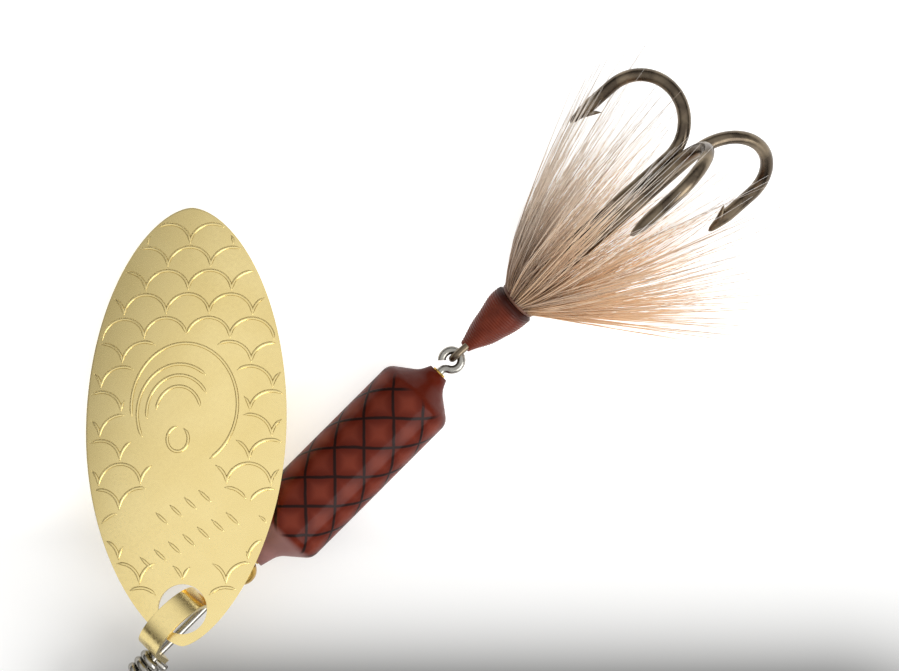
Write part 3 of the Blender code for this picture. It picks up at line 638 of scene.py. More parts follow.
def shaft_route():
    """The wire's centreline: from the link loop's end, along the shaft, round the tie and back in a helix of
    WRAP_TURNS turns about the shaft, then straight out as the cut end."""
    link = loop_route(LINK_LOOP_RADIUS, 1)[::-1]
    link = np.stack([LINK_CENTRE + link[:, 0], link[:, 1], 0 * link[:, 0]], axis=1)
    pitch = 2 * WIRE_RADIUS + TOUCHING_GAP
    clevis_front = CLEVIS_MIDDLE - CLEVIS_BEND - STRIP_THICKNESS / 2
    wrap_start = clevis_front - RUNNING_GAP - WIRE_RADIUS - WRAP_TURNS * pitch
    tie = loop_route(TIE_LOOP_RADIUS, -1)
    tie = np.stack([wrap_start - TIE_LOOP_RADIUS * LOOP_LEAD - tie[:, 0], tie[:, 1], 0 * tie[:, 0]], axis=1)
    coil = 2 * WIRE_RADIUS + 2 * TOUCHING_GAP
    share = np.linspace(0, 1, 112)[1:]
    angle = TURN * WRAP_TURNS * share
    wound = wrap_start + pitch * WRAP_TURNS * share
    helix = np.stack([wound, -coil * np.cos(angle), coil * np.sin(angle)], axis=1)
    settle = eased(share * WRAP_STEPS / SETTLING_STEPS)[:, None]
    helix = tie[-1] * (1 - settle) + helix * settle
    onward, outward = np.array([0, math.sin(angle[-1]), math.cos(angle[-1])]), helix[-1] * [0, 1, 1] / coil
    away = np.array([TAG_LEAN, 0, 0]) + onward + TAG_RISE * outward
    away /= np.linalg.norm(away)
    tag = helix[-1] + away * TAG_LENGTH * np.linspace(0, 1, 6)[1:, None]
    straight = np.linspace(link[-1], tie[0], 24)[1:-1]
    return carried(shaft_place(), np.concatenate([link, straight, tie, helix, tag]))


def clevis_sheet():
    """The strip's middle surface: up one leg, round a half circle and down the other, as wide as the ears and
    closed in at each end by half a circle, with a bore in each ear."""
    leg, half_turn = BOW_CENTRE + EAR_RADIUS, math.pi * CLEVIS_BEND
    total = 2 * leg + half_turn
    rows, columns = 240, 27
    end = EAR_RADIUS * (1 - np.cos(np.linspace(0, math.pi / 2, 14)))
    run = np.concatenate([end, np.linspace(EAR_RADIUS, total - EAR_RADIUS, rows)[1:-1], total - end[::-1]])
    from_end = np.minimum(run, total - run)
    half_width = np.sqrt(np.maximum(EAR_RADIUS**2 - np.maximum(EAR_RADIUS - from_end, 0) ** 2, 0))
    across = np.linspace(-1, 1, columns)
    flat = np.stack([np.repeat(run, columns), (half_width[:, None] * across).ravel()], axis=1)
    faces = grid_quads(len(run), columns)
    for middle in (EAR_RADIUS, total - EAR_RADIUS):
        flat, faces = bored(flat, faces, np.array([middle, 0]), BORE_RADIUS + STRIP_THICKNESS * 0.05)
    along, aside = flat.T
    angle = np.clip((along - leg) / CLEVIS_BEND, 0, math.pi)
    x = -CLEVIS_BEND * np.cos(angle)
    drop = np.where(along < leg, leg - along, np.maximum(along - leg - half_turn, 0))
    z = BOW_CENTRE + CLEVIS_BEND * np.sin(angle) - drop
    return carried(clevis_place(), np.stack([x, -aside, z], axis=1)), faces


def blade_rise(along, across):
    """Height of the blade's middle surface over its hole: a parabola lengthwise and another crosswise."""
    bow = BLADE_CROWN_LENGTHWISE / (BLADE_LENGTH / 2) ** 2
    arch = BLADE_CROWN_CROSSWISE / (BLADE_WIDTH / 2) ** 2
    return bow * (BLADE_MIDDLE**2 - (along - BLADE_MIDDLE) ** 2) - arch * across**2


def blade_half_width(along):
    """Half of the blade's width at a place: the half width times (1 - t squared) to the pointedness of that
    end, where t runs from -1 to 1 over its length."""
    t = (along - BLADE_MIDDLE) / (BLADE_LENGTH / 2)
    pointedness = np.where(t > 0, FREE_END_POINTEDNESS, HOLE_END_POINTEDNESS)
    return BLADE_WIDTH / 2 * np.maximum(1 - t * t, 0) ** pointedness


def blade_flat(u, v):
    """(along, across) of a -1..1 square laid onto the blade's outline, by the elliptical grid mapping."""
    disc_u, disc_v = u * np.sqrt(1 - v * v / 2), v * np.sqrt(1 - u * u / 2)
    pointedness = np.where(disc_u > 0, FREE_END_POINTEDNESS, HOLE_END_POINTEDNESS)
    narrowing = np.maximum(1 - disc_u**2, 1e-9) ** (pointedness - 0.5)
    return np.stack([BLADE_LENGTH / 2 * disc_u + BLADE_MIDDLE, BLADE_WIDTH / 2 * disc_v * narrowing], axis=-1)


def blade_place(slope):
    """The middle of the blade's hole, X along the blade."""
    height = CLEVIS_REACH - STRIP_THICKNESS / 2 - BLADE_BELOW_BOW
    hole = carried(clevis_place(), np.array([HOLE_AFT, 0, height]))
    return shifted(*hole) @ turned("Z", BLADE_YAW) @ turned("Y", slope) @ turned("X", -BLADE_ROLL)


def on_blade(flat):
    """(along, across) places raised onto the blade's middle surface."""
    return np.stack([flat[..., 0], flat[..., 1], blade_rise(flat[..., 0], flat[..., 1])], axis=-1)


def resting_slope():
    """The slope at which the blade's lowest point meets the floor, found by halving."""
    side = np.linspace(-1, 1, 24)
    square = np.concatenate([np.stack([side, side * 0 + end], axis=1) for end in (-1, 1)])
    edge = on_blade(blade_flat(*np.concatenate([square, square[:, ::-1]]).T))
    low, high = 0.0, math.radians(60)
    for _ in range(40):
        slope = (low + high) / 2
        clear = carried(blade_place(slope), edge)[:, 2].min() - BLADE_THICKNESS / 2 > TOUCHING_GAP
        low, high = (slope, high) if clear else (low, slope)
    return low


def blade_sheet():
    """The blade's middle surface before it is crowned: the square grid laid onto the outline, then bored."""
    u, v = np.meshgrid(np.linspace(-1, 1, 201), np.linspace(-1, 1, 93), indexing="ij")
    flat = blade_flat(u.ravel(), v.ravel())
    flat, faces = bored(flat, grid_quads(201, 93), np.zeros(2), HOLE_RADIUS)
    return flat, faces


def within(flat, middle, reach):
    """Distance from a middle as a share of an ellipse's reach: 1 on the ellipse and less inside it."""
    return np.linalg.norm((flat - middle) / reach, axis=-1)


def scale_lines(sizes):
    """Half circles in staggered rows, their crowns towards the blade's free end, as (along, across)."""
    pitch, row_height = sizes.scale_width, sizes.scale_row
    radius = pitch / 2
    angle = np.linspace(0, math.pi, 33)
    lines = []
    for row in range(-3, 20):
        base = row * row_height
        for column in range(-4, 5):
            middle = (column + 0.5 * (row % 2)) * pitch
            lines.append(np.stack([base + radius * np.sin(angle), middle + radius * np.cos(angle)], axis=1))
    kept = []
    for line in lines:
        free = np.abs(line[:, 1]) < blade_half_width(line[:, 0]) - PLAIN_EDGE
        free &= within(line, MEDALLION_MIDDLE, MEDALLION_REACH) > 1.12
        free &= within(line, BAND_MIDDLE, BAND_REACH) > 1
        free &= np.linalg.norm(line, axis=1) > HOLE_RADIUS + PLAIN_RIM
        starts = np.flatnonzero(np.diff(np.concatenate([[0], free.astype(int), [0]])))
        kept += [line[first:last] for first, last in starts.reshape(-1, 2) if last - first > 4]
    return kept


def medallion_lines():
    """An open ring, three ripples inside it and a small eye, in shares of the medallion's reach."""
    lines = [arc_points((0, 0), 1.0, math.radians(-150), math.radians(100), 90)]
    for share, start, end in ((0.78, -40, 120), (0.6, -60, 100), (0.42, -80, 85)):
        lines.append(arc_points((-0.12, 0.1), share, math.radians(start), math.radians(end), 50))
    lines.append(arc_points((-0.55, 0.1), 0.2, 0, math.radians(330), 26))
    return [MEDALLION_MIDDLE + line * MEDALLION_REACH for line in lines]


def band_lines():
    """Two rows of slanting strokes, as plain as the milling on a rim."""
    lean = np.array([[math.cos(BAND_TILT), math.sin(BAND_TILT)], [-math.sin(BAND_TILT), math.cos(BAND_TILT)]])
    stroke = np.linspace(-STROKE_END, STROKE_END, 9)
    lines = []
    for row, count in ((-STROKE_PITCH, 7), (STROKE_PITCH, 4)):
        for column in range(count):
            middle = np.array([row, (column - (count - 1) / 2) * STROKE_PITCH - row * 0.3])
            lines.append(BAND_MIDDLE + (stroke + middle) @ lean)
    return lines


def blade_ridges(sizes, slope):
    """Each stamped line as a low ridge: a flattened round section carried along the line on the blade's upper
    face, thinner at both ends."""
    ridges = []
    place, half_width = blade_place(slope), sizes.ridge_width / 2
    for line in scale_lines(sizes) + medallion_lines() + band_lines():
        route = on_blade(line)
        ahead, aside = np.array([1e-5, 0]), np.array([0, 1e-5])
        normal = np.cross(on_blade(line + ahead) - route, on_blade(line + aside) - route)
        normal /= np.linalg.norm(normal, axis=1, keepdims=True)
        route = route + normal * BLADE_THICKNESS / 2
        step = np.linalg.norm(np.diff(route, axis=0), axis=1)
        length = np.concatenate([[0], np.cumsum(step)])
        radius = half_width * (0.15 + 0.85 * eased(np.minimum(length, length[-1] - length) / LINE_FADE))
        upright = normal @ place[:3, :3].T
        ridges.append(tube(carried(place, route), radius, 6, sizes.ridge_height / half_width, upright))
    return joined(*ridges)


def body_profile():
    """The body from its front nub round the straight part to the rear nub, and back along its bore."""
    shoulder, flare = BODY_STRAIGHT / 2, NUB_RADIUS + NUB_FLARE
    front, rear = -shoulder - FRONT_CONE - FRONT_NUB, shoulder + REAR_CONE + REAR_NUB
    outer = np.array(
        [
            (front, NUB_RADIUS),
            (front + FRONT_NUB, flare),
            (-shoulder, BODY_RADIUS),
            (shoulder, BODY_RADIUS),
            (shoulder + REAR_CONE, flare),
            (rear, NUB_RADIUS),
        ]
    )
    outer = rounded(outer, SHOULDER_ROUNDING, 10)
    bore = TUBE_RADIUS + TOUCHING_GAP
    lip = [(rear, bore), (front, bore), (front, NUB_RADIUS)]
    return np.concatenate([outer, lip])


def hook_plane(flat, angle):
    """Points (u, v) of one hook's own plane: u along the shank, and v out from it at the hook's angle."""
    return np.stack([flat[:, 0], flat[:, 1] * math.cos(angle), flat[:, 1] * math.sin(angle)], axis=1)


def bend_route(angle, shank):
    """From the start of a hook's bend, round a half circle and along the spear to its point, with each
    point's share of the wire's radius."""
    bend = (GAPE - SHANK_OFFSET) / 2
    curve = arc_points((shank, GAPE - bend), bend, -math.pi / 2, math.pi / 2, 44)
    spear = np.stack([shank - SPEAR * np.linspace(0, 1, 24)[1:], np.full(23, GAPE)], axis=1)
    to_point = (spear[:, 0] - (shank - SPEAR)) / POINT_LENGTH
    thickness = np.concatenate([np.ones(44), np.clip(0.06 + 0.94 * np.sqrt(np.clip(to_point, 0, 1)), 0, 1)])
    return hook_plane(np.concatenate([curve, spear]), angle), thickness


def shank_route(angle, shank, start):
    """Straight along the bundle, from a start to where the bend begins."""
    flat = np.stack([np.linspace(start, shank, 30)[:-1], np.full(29, SHANK_OFFSET)], axis=1)
    return hook_plane(flat, angle), np.ones(29)


def neck_route(angle, side):
    """From the eye back to where a shank lies in the bundle, eased, thickening from the eye's wire."""
    pinch = np.array([NECK_START, 0, side * (EYE_WIRE + 1.5 * RUNNING_GAP)])
    settled = hook_plane(np.array([[NECK_END, SHANK_OFFSET]]), angle)[0]
    share = np.linspace(0, 1, 22)
    run = pinch + (settled - pinch) * eased(share)[:, None]
    run[:, 0] = NECK_START + (NECK_END - NECK_START) * share
    thin = EYE_WIRE / HOOK_WIRE
    return run[:-1], (thin + (1 - thin) * eased(share))[:-1]


def eye_route():
    """Round the upright eye from its lower side to its upper."""
    ring = arc_points((EYE_CENTRE, 0), EYE_RADIUS, -EYE_OPEN_HALF, EYE_OPEN_HALF - TURN, 60)
    waist, level = (EYE_CENTRE + NECK_START) / 2 + EYE_WIRE, EYE_WIRE + 2.4 * RUNNING_GAP
    flat = np.concatenate([[(waist, -level)], ring, [(waist, level)]])
    run = np.stack([flat[:, 0], 0 * flat[:, 0], flat[:, 1]], axis=1)
    return run, np.full(len(run), EYE_WIRE / HOOK_WIRE)


def barb_spur(angle, shank):
    """A cut barb: a flat spur that leaves the spear's inner side and slopes back from the point."""
    cut = np.array([shank - SPEAR + BARB_BACK, GAPE])
    route = hook_plane(np.linspace(cut + BARB_ROOT, cut + BARB_TIP, 10), angle)
    share = np.linspace(0, 1, 10)
    return tube(carried(hook_place(), route), HOOK_WIRE * (0.62 * (1 - share) ** 0.8 + 0.03), 12)


def bent_wire(runs):
    """Runs of (route, share of the wire's radius) made one wire."""
    route, thickness = (np.concatenate(part) for part in zip(*runs))
    return tube(carried(hook_place(), route), HOOK_WIRE * thickness, 20)


def double_hook_mesh():
    """One hook from its point to the eye, round the eye, and back to the other's point."""
    a, c = HOOK_ANGLES["A"], HOOK_ANGLES["C"]
    runs = [bend_route(a, DOUBLE_SHANK), shank_route(a, DOUBLE_SHANK, NECK_END), neck_route(a, -1)]
    runs = [(run[::-1], thickness[::-1]) for run, thickness in runs] + [eye_route()]
    runs += [neck_route(c, 1), shank_route(c, DOUBLE_SHANK, NECK_END), bend_route(c, DOUBLE_SHANK)]
    return joined(bent_wire(runs), barb_spur(a, DOUBLE_SHANK), barb_spur(c, DOUBLE_SHANK))


def third_hook_mesh():
    """The hook soldered beside them, from its shank's cut end to its point."""
    b = HOOK_ANGLES["B"]
    runs = [shank_route(b, SINGLE_SHANK, NECK_END + 2 * TOUCHING_GAP), bend_route(b, SINGLE_SHANK)]
    return joined(bent_wire(runs), barb_spur(b, SINGLE_SHANK))


def thread_profile():
    """The head from its thin tip, wound over the rear of the eye, to its full radius: the tip's radius plus a
    quarter sine of the rise. A small step down ends it, and it goes back along its bore."""
    share = np.linspace(0, 1, 280)
    end = HEAD_START + HEAD_LENGTH
    step_down = 0.16 * MM * eased((share - 0.95) / 0.05)
    rise = WOUND_TIP_RADIUS + (HEAD_RADIUS - WOUND_TIP_RADIUS) * np.sin(share * math.pi / 2) - step_down
    outer = np.stack([WOUND_START + (end - 0.03 * MM - WOUND_START) * share, rise], axis=1)
    bore = BUNDLE_RADIUS + RUNNING_GAP
    tip = (WOUND_START, WOUND_TIP_RADIUS * 0.7)
    inner = [(end, HEAD_RADIUS - 0.22 * MM), (end, bore), (NECK_END, bore), tip]
    return np.concatenate([outer, inner, outer[:1]])


def thread_ripple(along, angle):
    """Turns of thread as a cosine that climbs one pitch in each turn, with slow lumps under them."""
    turns = np.cos(TURN * along / THREAD_PITCH - angle)
    lumps = np.sin(3 * angle + along / (0.5 * MM)) + np.sin(2 * angle - along / (0.31 * MM) + 1.3)
    return (0.013 * turns + 0.024 * lumps) * MM


def quill_profile():
    """The stem's turns, each half a circle, and back along the bore."""
    pitch = QUILL_LENGTH / QUILL_TURNS
    middles = [(QUILL_START + pitch * (turn + 0.5), QUILL_RADIUS - pitch / 2) for turn in range(QUILL_TURNS)]
    ridges = [arc_points(middle, pitch * 0.49, math.pi, 0, 14) for middle in middles]
    bore = BUNDLE_RADIUS + RUNNING_GAP
    inner = [(QUILL_START + QUILL_LENGTH, bore), (QUILL_START, bore)]
    profile = np.concatenate([*ridges, inner])
    return np.concatenate([profile, profile[:1]])


def barb_tubes(route, half):
    """A square section carried along every barb's route at once, half its thickness to each side and its
    upper face level across, closed in a pole at both ends."""
    count, stations, _ = route.shape
    heading = np.gradient(route, axis=1)
    heading /= np.linalg.norm(heading, axis=2, keepdims=True)
    across = np.cross(heading, (0.0, 0.0, 1.0))
    across /= np.linalg.norm(across, axis=2, keepdims=True)
    above = np.cross(across, heading)
    rows = np.concatenate([[0], np.arange(stations), [stations - 1]])
    ends = np.concatenate([np.zeros((count, 1)), half, np.zeros((count, 1))], axis=1)[:, :, None, None]
    around = np.linspace(0, TURN, BARB_SIDES + 1)
    ring = across[:, rows, None] * np.cos(around)[:, None] + above[:, rows, None] * np.sin(around)[:, None]
    first = np.arange(count) * len(rows) * len(around)
    faces = grid_quads(len(rows), len(around)) + first[:, None, None]
    return route[:, rows, None] + ends * ring, faces, rows


def barb_mesh(sizes):
    """Every barb of the hackle. A barb's slant from the shank starts steep and falls along it, its angle
    round the shank wavers with its tuft, and its points are the running sums of the steps that these give.
    Where a barb would pass the floor it lies along it."""
    rng = np.random.default_rng(HACKLE_SEED)
    count = sizes.long_barbs + sizes.short_barbs
    is_long = np.arange(count) < sizes.long_barbs
    share = np.linspace(0, 1, BARB_STATIONS)
    # Tufts: barbs that share a web start apart, and come together at their tips.
    tuft = rng.integers(0, TUFTS, count)
    tuft_angle = ((np.arange(TUFTS) + rng.uniform(-0.45, 0.45, TUFTS)) * TURN / TUFTS)[tuft]
    tuft_slant = rng.normal(0, math.radians(3), TUFTS)[tuft]
    tuft_length = rng.uniform(0.7, 1.12, TUFTS)[tuft]
    tuft_bow = rng.normal(0, math.radians(4), TUFTS)[tuft]
    fan = rng.normal(0, math.radians(6.5), count)
    stray = rng.random(count) < STRAY_SHARE
    angle = np.where(stray, rng.uniform(0, TURN, count), tuft_angle)
    inner = rng.random(count) < INNER_SHARE
    side = np.cos(angle)  # 1 towards +Y, -1 towards -Y
    slant_end = TIP_SLANT - SIDE_SLANT * side + tuft_slant + rng.normal(0, math.radians(1.3), count)
    slant_start = ROOT_SLANT + rng.normal(0, math.radians(3), count)
    inward = np.where(inner, rng.uniform(0.3, 0.95, count), 1.0)
    slant_end, slant_start = slant_end * inward, slant_start * inward
    # The upper barbs are a little shorter.
    reach = np.where(is_long, 9.5 + 11.5 * rng.random(count) ** 1.5, rng.uniform(3.5, 10.0, count))
    length = reach * tuft_length * (1 - 0.14 * np.maximum(np.sin(angle), 0)) * MM
    length = np.minimum(length, (BARB_REACH - rng.uniform(0, 3, count) * MM) / np.cos(slant_end))
    gone = share * length[:, None]
    slant = slant_end[:, None] + (slant_start - slant_end)[:, None] * np.exp(-gone / STRAIGHTENING)
    slant = slant * (0.35 + 0.65 * eased(gone / BARB_LIFT))
    gather = np.where(stray, 1.0, GATHERED)[:, None]
    fanned = fan[:, None] * (gather + (1 - gather) * np.clip(1.25 - share, 0, 1))
    bow = (tuft_bow + rng.normal(0, math.radians(1.5), count))[:, None] * (share - 0.3) * 2
    round_shank = angle[:, None] + fanned + bow
    step = length[:, None] / (BARB_STATIONS - 1)
    along, out = np.cumsum(np.cos(slant) * step, axis=1), np.cumsum(np.sin(slant) * step, axis=1)
    along += (QUILL_START + rng.uniform(0.12, 0.95, count) * QUILL_LENGTH)[:, None] - along[:, :1]
    out += rng.uniform(0.95, 1.16, count)[:, None] * MM - out[:, :1]
    route = np.stack([along, out * np.cos(round_shank), out * np.sin(round_shank)], axis=2)
    route = carried(hook_place(), route)
    width = np.where(is_long, rng.uniform(0.055, 0.1, count), rng.uniform(0.045, 0.075, count)) * MM
    half = (width * sizes.barb_width)[:, None] / 2 * (1 - 0.85 * share)
    bed = 0.03 * MM + half + rng.uniform(0, 0.5, count)[:, None] * MM * share
    route[..., 2] = np.maximum(route[..., 2], bed)
    points, faces, rows = barb_tubes(route, half)
    # Painted light and shade: lighter, warmer straw towards -Y, where the key light stands, and cooler,
    # browner painted shade towards +Y, with each tuft's and each barb's own tone on top.
    warmth_and_painted_light = np.clip(0.5 - 0.5 * side + rng.normal(0, 0.12, TUFTS)[tuft] + rng.normal(0, 0.1, count), 0, 1)
    # Painted shade: barbs darken towards +Y, on top of each tuft's and each barb's own darker or paler tone.
    darkness_and_painted_shade = rng.normal(0, 0.2, TUFTS)[tuft] + rng.normal(0, 0.3, count) + 0.12 * side
    # A short barb is brown for as long as its neighbours are.
    reached = gone[:, rows] / COLOURED_LENGTH
    shades = np.stack([warmth_and_painted_light, np.clip(darkness_and_painted_shade, 0, 1)], axis=1)[:, None].repeat(len(rows), axis=1)
    spots = np.concatenate([reached[:, :, None], shades], axis=2)[:, :, None].repeat(BARB_SIDES + 1, axis=2)
    return points.reshape(-1, 3), faces.reshape(-1, 4), spots.reshape(-1, 3)


# Settings


def length(name, description, default):
    return bpy.props.FloatProperty(
        name=name, description=description, default=default, min=0.02 * MM, unit="LENGTH", precision=5
    )


def number(name, description, default):
    return bpy.props.IntProperty(name=name, description=description, default=default, min=1)


def colour(name, description, hex_colour):
    default = (*linear(hex_colour), 1)
    return bpy.props.FloatVectorProperty(
        name=name, description=description, subtype="COLOR", size=4, default=default, min=0, max=1
    )


class LureSizes(bpy.types.PropertyGroup):
    net_repeat: length("Net Repeat", "From one crossing of the net to the next along the body", 2.45 * MM)
    net_meshes: number("Net Meshes", "Meshes of the net round the body", 6)
    net_line: length("Net Line", "Width of the net's lines", 0.17 * MM)
    scale_width: length("Scale Width", "Width of one stamped scale on the blade", 2.55 * MM)
    scale_row: length("Scale Row", "Length along the blade from one row of scales to the next", 1.47 * MM)
    ridge_width: length("Stamped Line Width", "Width of the blade's stamped lines", 0.2 * MM)
    ridge_height: length("Stamped Line Height", "Height of the blade's stamped lines", 0.05 * MM)
    long_barbs: number("Long Barbs", "Barbs of the hackle that reach the hook's bends", 620)
    short_barbs: number("Short Barbs", "Barbs of the hackle that end near its stem", 680)
    barb_width: bpy.props.FloatProperty(
        name="Barb Thickness", description="Thickness of the barbs, as a share of the usual", default=1.0
    )


class LureColours(bpy.types.PropertyGroup):
    gold: colour("Gold", "Gold plate on the blade and clevis", "#f3de9e")
    gold_thin: colour("Thin Gold", "Gold plate where it is thin", "#e2c87f")
    steel: colour("Steel", "Shaft wire", "#b9b6ae")
    steel_dark: colour("Dark Steel", "Shaft wire in its streaks", "#7d7a74")
    brass: colour("Brass", "Beads and tube", "#d8b25e")
    brass_dull: colour("Dull Brass", "Beads and tube where they are tarnished", "#b08a3e")
    body: colour("Body", "Body between the net's lines", "#571808")
    body_pale: colour("Pale Body", "Middle of each mesh of the net", "#6f2c1c")
    body_cone: colour("Body Cone", "Front cone of the body", "#8a6460")
    net: colour("Net", "Lines of the net", "#1f0805")
    thread: colour("Thread", "Thread head", "#7a341f")
    thread_dark: colour("Dark Thread", "Thread head where it is soaked", "#4e1a10")
    thread_collar: colour("Thread Collar", "Thread head against the hackle", "#35120b")
    stem: colour("Stem", "Hackle's stem", "#7a4a30")
    stem_dark: colour("Dark Stem", "Hackle's stem in its grooves", "#3c2018")
    # Painted light and shade: the cool root and barb colours are the hackle's shaded +Y side, the warm ones
    # its side lit from -Y.
    root_shaded: colour("Shaded Root", "Barb roots on the cool side", "#a5846a")
    root_lit: colour("Lit Root", "Barb roots on the warm side", "#ecc294")
    barb_shaded: colour("Shaded Barb", "Barbs on the cool side", "#f2e2d0")
    barb_lit: colour("Lit Barb", "Barbs on the warm side", "#fad3a8")
    barb_tip: colour("Barb Tip", "Barb tips", "#f2ece6")
    # This colour darkens barbs for their own tone and for painted shade towards +Y.
    barb_tone_and_shade: colour("Barb Tone and Shade", "What dark barbs are multiplied by", "#927a66")
    bronze: colour("Bronze", "Hooks", "#544a3f")
    bronze_thin: colour("Thin Bronze", "Hooks where the bronzing is thin", "#8a7c68")
    floor: colour("Floor", "Floor under the lure", "#f7f7f6")


# One operator for each piece or group of like pieces


class LURE_OT_shaft(bpy.types.Operator):
    """Make the shaft wire, with its loops and wrap"""

    bl_idname = "lure.shaft"
    bl_label = "Shaft Wire"

    def execute(self, context):
        steel = wire_steel(context.scene.lure_colours)
        wire = tube(shaft_route(), WIRE_RADIUS, 18)
        put_piece("wire_shaft", *wire, steel, "shaft", "steel_wire", ["shaft_wire"])
        return {"FINISHED"}


class LURE_OT_clevis(bpy.types.Operator):
    """Make the folded strip that carries the blade"""

    bl_idname = "lure.clevis"
    bl_label = "Clevis"

    def execute(self, context):
        gold, sheet = plated_gold(context.scene.lure_colours), clevis_sheet()
        strip = put_piece("folded_clevis", *sheet, gold, "clevis", "gold_plate", ["clevis"], closed=False)
        thicken(strip, STRIP_THICKNESS, 0.07 * MM)
        return {"FINISHED"}


class LURE_OT_blade(bpy.types.Operator):
    """Make the stamped blade"""

    bl_idname = "lure.blade"
    bl_label = "Blade"

    def execute(self, context):
        slope, gold = resting_slope(), plated_gold(context.scene.lure_colours)
        flat, faces = blade_sheet()
        points = carried(blade_place(slope), on_blade(flat))
        made = put_piece("spinner_blade", points, faces, gold, "blade", "gold_plate", ["blade"], closed=False)
        thicken(made, BLADE_THICKNESS, 0.1 * MM)
        ridges = blade_ridges(context.scene.lure_sizes, slope)
        put_piece("blade_stamping", *ridges, gold, "blade", "gold_plate")
        return {"FINISHED"}


class LURE_OT_beads(bpy.types.Operator):
    """Make the two bearing beads"""

    bl_idname = "lure.beads"
    bl_label = "Bearing Beads"

    def execute(self, context):
        brass = turned_brass(context.scene.lure_colours)
        for node, body in (("bearing_bead_front", "bead_front"), ("bearing_bead_rear", "bead_rear")):
            low, high = (np.array(corner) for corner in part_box(node))
            radius = (high[2] - low[2]) / 2
            reach = math.asin(BORE_RADIUS / radius)
            ball = arc_points((0, 0), radius, math.pi - reach, reach, 40)
            points, faces, _ = lathe(np.concatenate([ball, ball[:1]]), 48)
            put_piece("turned_" + node, points + (low + high) / 2, faces, brass, body, "brass", [node])
        return {"FINISHED"}


class LURE_OT_body(bpy.types.Operator):
    """Make the netted body and the tube that it turns on"""

    bl_idname = "lure.body"
    bl_label = "Body and Tube"

    def execute(self, context):
        colours = context.scene.lure_colours
        points, faces, spots = lathe(body_profile(), 96)
        points = carried(shaft_place(), points)
        paint = netted_lacquer(colours, context.scene.lure_sizes)
        put_piece("netted_body", points, faces, paint, "body", "body_paint", ["body_shell"], spots=spots)
        half = (TUBE_HIGH[0] - TUBE_LOW[0]) / 2
        inner, rim = TUBE_RADIUS - TUBE_WALL, 0.03 * MM
        wall = [(-half, inner), (-half, TUBE_RADIUS - rim), (-half + rim, TUBE_RADIUS)]
        wall += [(half - rim, TUBE_RADIUS), (half, TUBE_RADIUS - rim), (half, inner), (-half, inner)]
        points, faces, _ = lathe(np.array(wall), 48)
        points, brass = points + (TUBE_LOW + TUBE_HIGH) / 2, turned_brass(colours)
        put_piece("core_tube", points, faces, brass, "body", "brass", ["body_core_tube"])
        return {"FINISHED"}


class LURE_OT_hooks(bpy.types.Operator):
    """Make the double hook and the third hook beside it"""

    bl_idname = "lure.hooks"
    bl_label = "Hooks"

    def execute(self, context):
        bronze = bronzed_steel(context.scene.lure_colours)
        put_piece("bronzed_double_hook", *double_hook_mesh(), bronze, "hook", "hook_bronze", ["double_hook"])
        put_piece("bronzed_third_hook", *third_hook_mesh(), bronze, "hook", "hook_bronze", ["third_hook"])
        return {"FINISHED"}


class LURE_OT_thread_head(bpy.types.Operator):
    """Make the lacquered thread head and the hackle's wound stem"""

    bl_idname = "lure.thread_head"
    bl_label = "Thread Head and Stem"

    def execute(self, context):
        colours = context.scene.lure_colours
        points, faces, spots = lathe(thread_profile(), 72, thread_ripple)
        points, thread = carried(hook_place(), points), lacquered_thread(colours)
        put_piece(
            "wound_thread_head", points, faces, thread, "hook", "thread_lacquer", ["thread_head"], spots=spots
        )
        points, faces, _ = lathe(quill_profile(), 64)
        points, stem = carried(hook_place(), points), feather_stem(colours)
        put_piece("wound_stem", points, faces, stem, "hook", "quill", ["hackle_quill"])
        return {"FINISHED"}


class LURE_OT_hackle(bpy.types.Operator):
    """Make the barbs of the hackle"""

    bl_idname = "lure.hackle"
    bl_label = "Hackle"

    def execute(self, context):
        points, faces, spots = barb_mesh(context.scene.lure_sizes)
        barbs = hackle_barbs(context.scene.lure_colours)
        put_piece("hackle_barbs", points, faces, barbs, "hook", "hackle", ["hackle_fibres"], spots=spots)
        return {"FINISHED"}


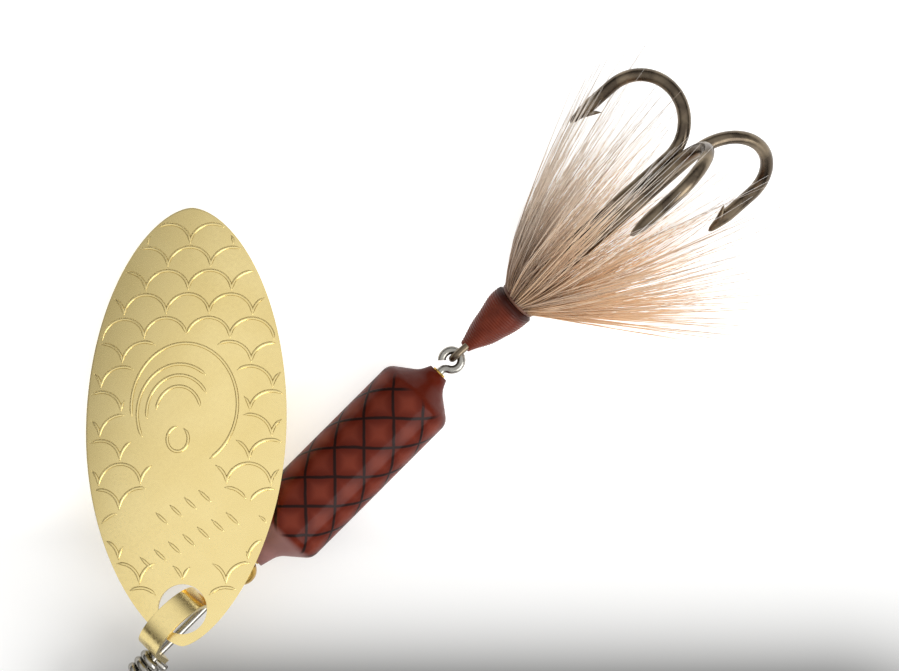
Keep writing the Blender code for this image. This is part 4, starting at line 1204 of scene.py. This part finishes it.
class LURE_OT_stage(bpy.types.Operator):
    """Make the floor, the lights, the surroundings and the camera"""

    bl_idname = "lure.stage"
    bl_label = "Stage"

    def execute(self, context):
        scene = context.scene
        side, drop = 0.9, 0.02 * MM
        mesh = bpy.data.meshes.new("stage_floor")
        corners = [(-side, -side, -drop), (side, -side, -drop), (side, side, -drop), (-side, side, -drop)]
        mesh.from_pydata(corners, [], [(0, 1, 2, 3)])
        mesh.materials.append(stage_paper(scene.lure_colours))
        floor = bpy.data.objects.new("stage_floor", mesh)
        scene.collection.objects.link(floor)
        light = bpy.data.lights.new("key_softbox", "AREA")
        light.size, light.energy = KEY_SIZE, KEY_POWER
        lamp = bpy.data.objects.new("key_softbox", light)
        lamp.location = KEY_PLACE
        lamp.rotation_euler = (-lamp.location).to_track_quat("-Z", "Y").to_euler()
        scene.collection.objects.link(lamp)
        world = bpy.data.worlds.new("studio")
        world.use_nodes = True
        tree = world.node_tree
        direction = add_node(tree, "ShaderNodeTexCoord", out="Generated")
        parts = add_node(tree, "ShaderNodeSeparateXYZ", {}, {0: direction}, None)
        height = add_node(tree, RANGE, SMOOTH, {0: parts[2], 1: 0.1, 2: 0.85})
        horizon, overhead = (*linear("#565250"), 1), (*linear("#ffffff"), 1)
        sky = add_node(tree, MIX, RGBA, {0: height, 6: horizon, 7: overhead}, 2)
        # The side away from the key is darker: the sky is scaled by a share that falls towards +Y.
        shade = add_node(tree, RANGE, SMOOTH, {0: parts[1], 1: 0.35, 2: 1.0, 3: 1.0, 4: 0.6})
        tree.links.new(shade, tree.nodes["Background"].inputs["Strength"])
        tree.links.new(sky, tree.nodes["Background"].inputs["Color"])
        scene.world = world
        scene.view_settings.view_transform = "Standard"
        lens = bpy.data.cameras.new("camera")
        lens.lens, lens.sensor_width = 300.0, 36.0
        lens.clip_start, lens.clip_end = 0.01, 10.0
        camera = bpy.data.objects.new("camera", lens)
        away = VIEW_WIDTH * lens.lens / lens.sensor_width
        middle = AXIS_ORIGIN[:2] + (SWING_AXIS + VIEW_MIDDLE[0], VIEW_MIDDLE[1])
        camera.location = (*middle, AXIS_HEIGHT + away)
        camera.rotation_euler = (0, 0, CAMERA_TURN)
        scene.collection.objects.link(camera)
        scene.camera = camera
        return {"FINISHED"}


OPERATORS = (
    LURE_OT_shaft,
    LURE_OT_clevis,
    LURE_OT_blade,
    LURE_OT_beads,
    LURE_OT_body,
    LURE_OT_hooks,
    LURE_OT_thread_head,
    LURE_OT_hackle,
    LURE_OT_stage,
)


class LURE_PT_pieces(bpy.types.Panel):
    """Lists the lure's sizes, its colours and its pieces"""

    bl_idname = "LURE_PT_pieces"
    bl_label = "Spinner Lure"
    bl_space_type = "VIEW_3D"
    bl_region_type = "UI"
    bl_category = "Spinner Lure"

    def draw(self, context):
        for group in (context.scene.lure_sizes, context.scene.lure_colours):
            box = self.layout.box()
            for name in group.bl_rna.properties.keys():
                if name not in {"rna_type", "name"}:
                    box.prop(group, name)
        for operator in OPERATORS:
            self.layout.operator(operator.bl_idname)


CLASSES = (LureSizes, LureColours, *OPERATORS, LURE_PT_pieces)


def register():
    for one in CLASSES:
        bpy.utils.register_class(one)
    bpy.types.Scene.lure_sizes = bpy.props.PointerProperty(type=LureSizes)
    bpy.types.Scene.lure_colours = bpy.props.PointerProperty(type=LureColours)


def unregister():
    del bpy.types.Scene.lure_colours
    del bpy.types.Scene.lure_sizes
    for one in reversed(CLASSES):
        bpy.utils.unregister_class(one)


def main():
    register()
    for operator in OPERATORS:
        group, name = operator.bl_idname.split(".")
        getattr(getattr(bpy.ops, group), name)()
    bpy.context.view_layer.update()


if __name__ == "__main__":
    main()
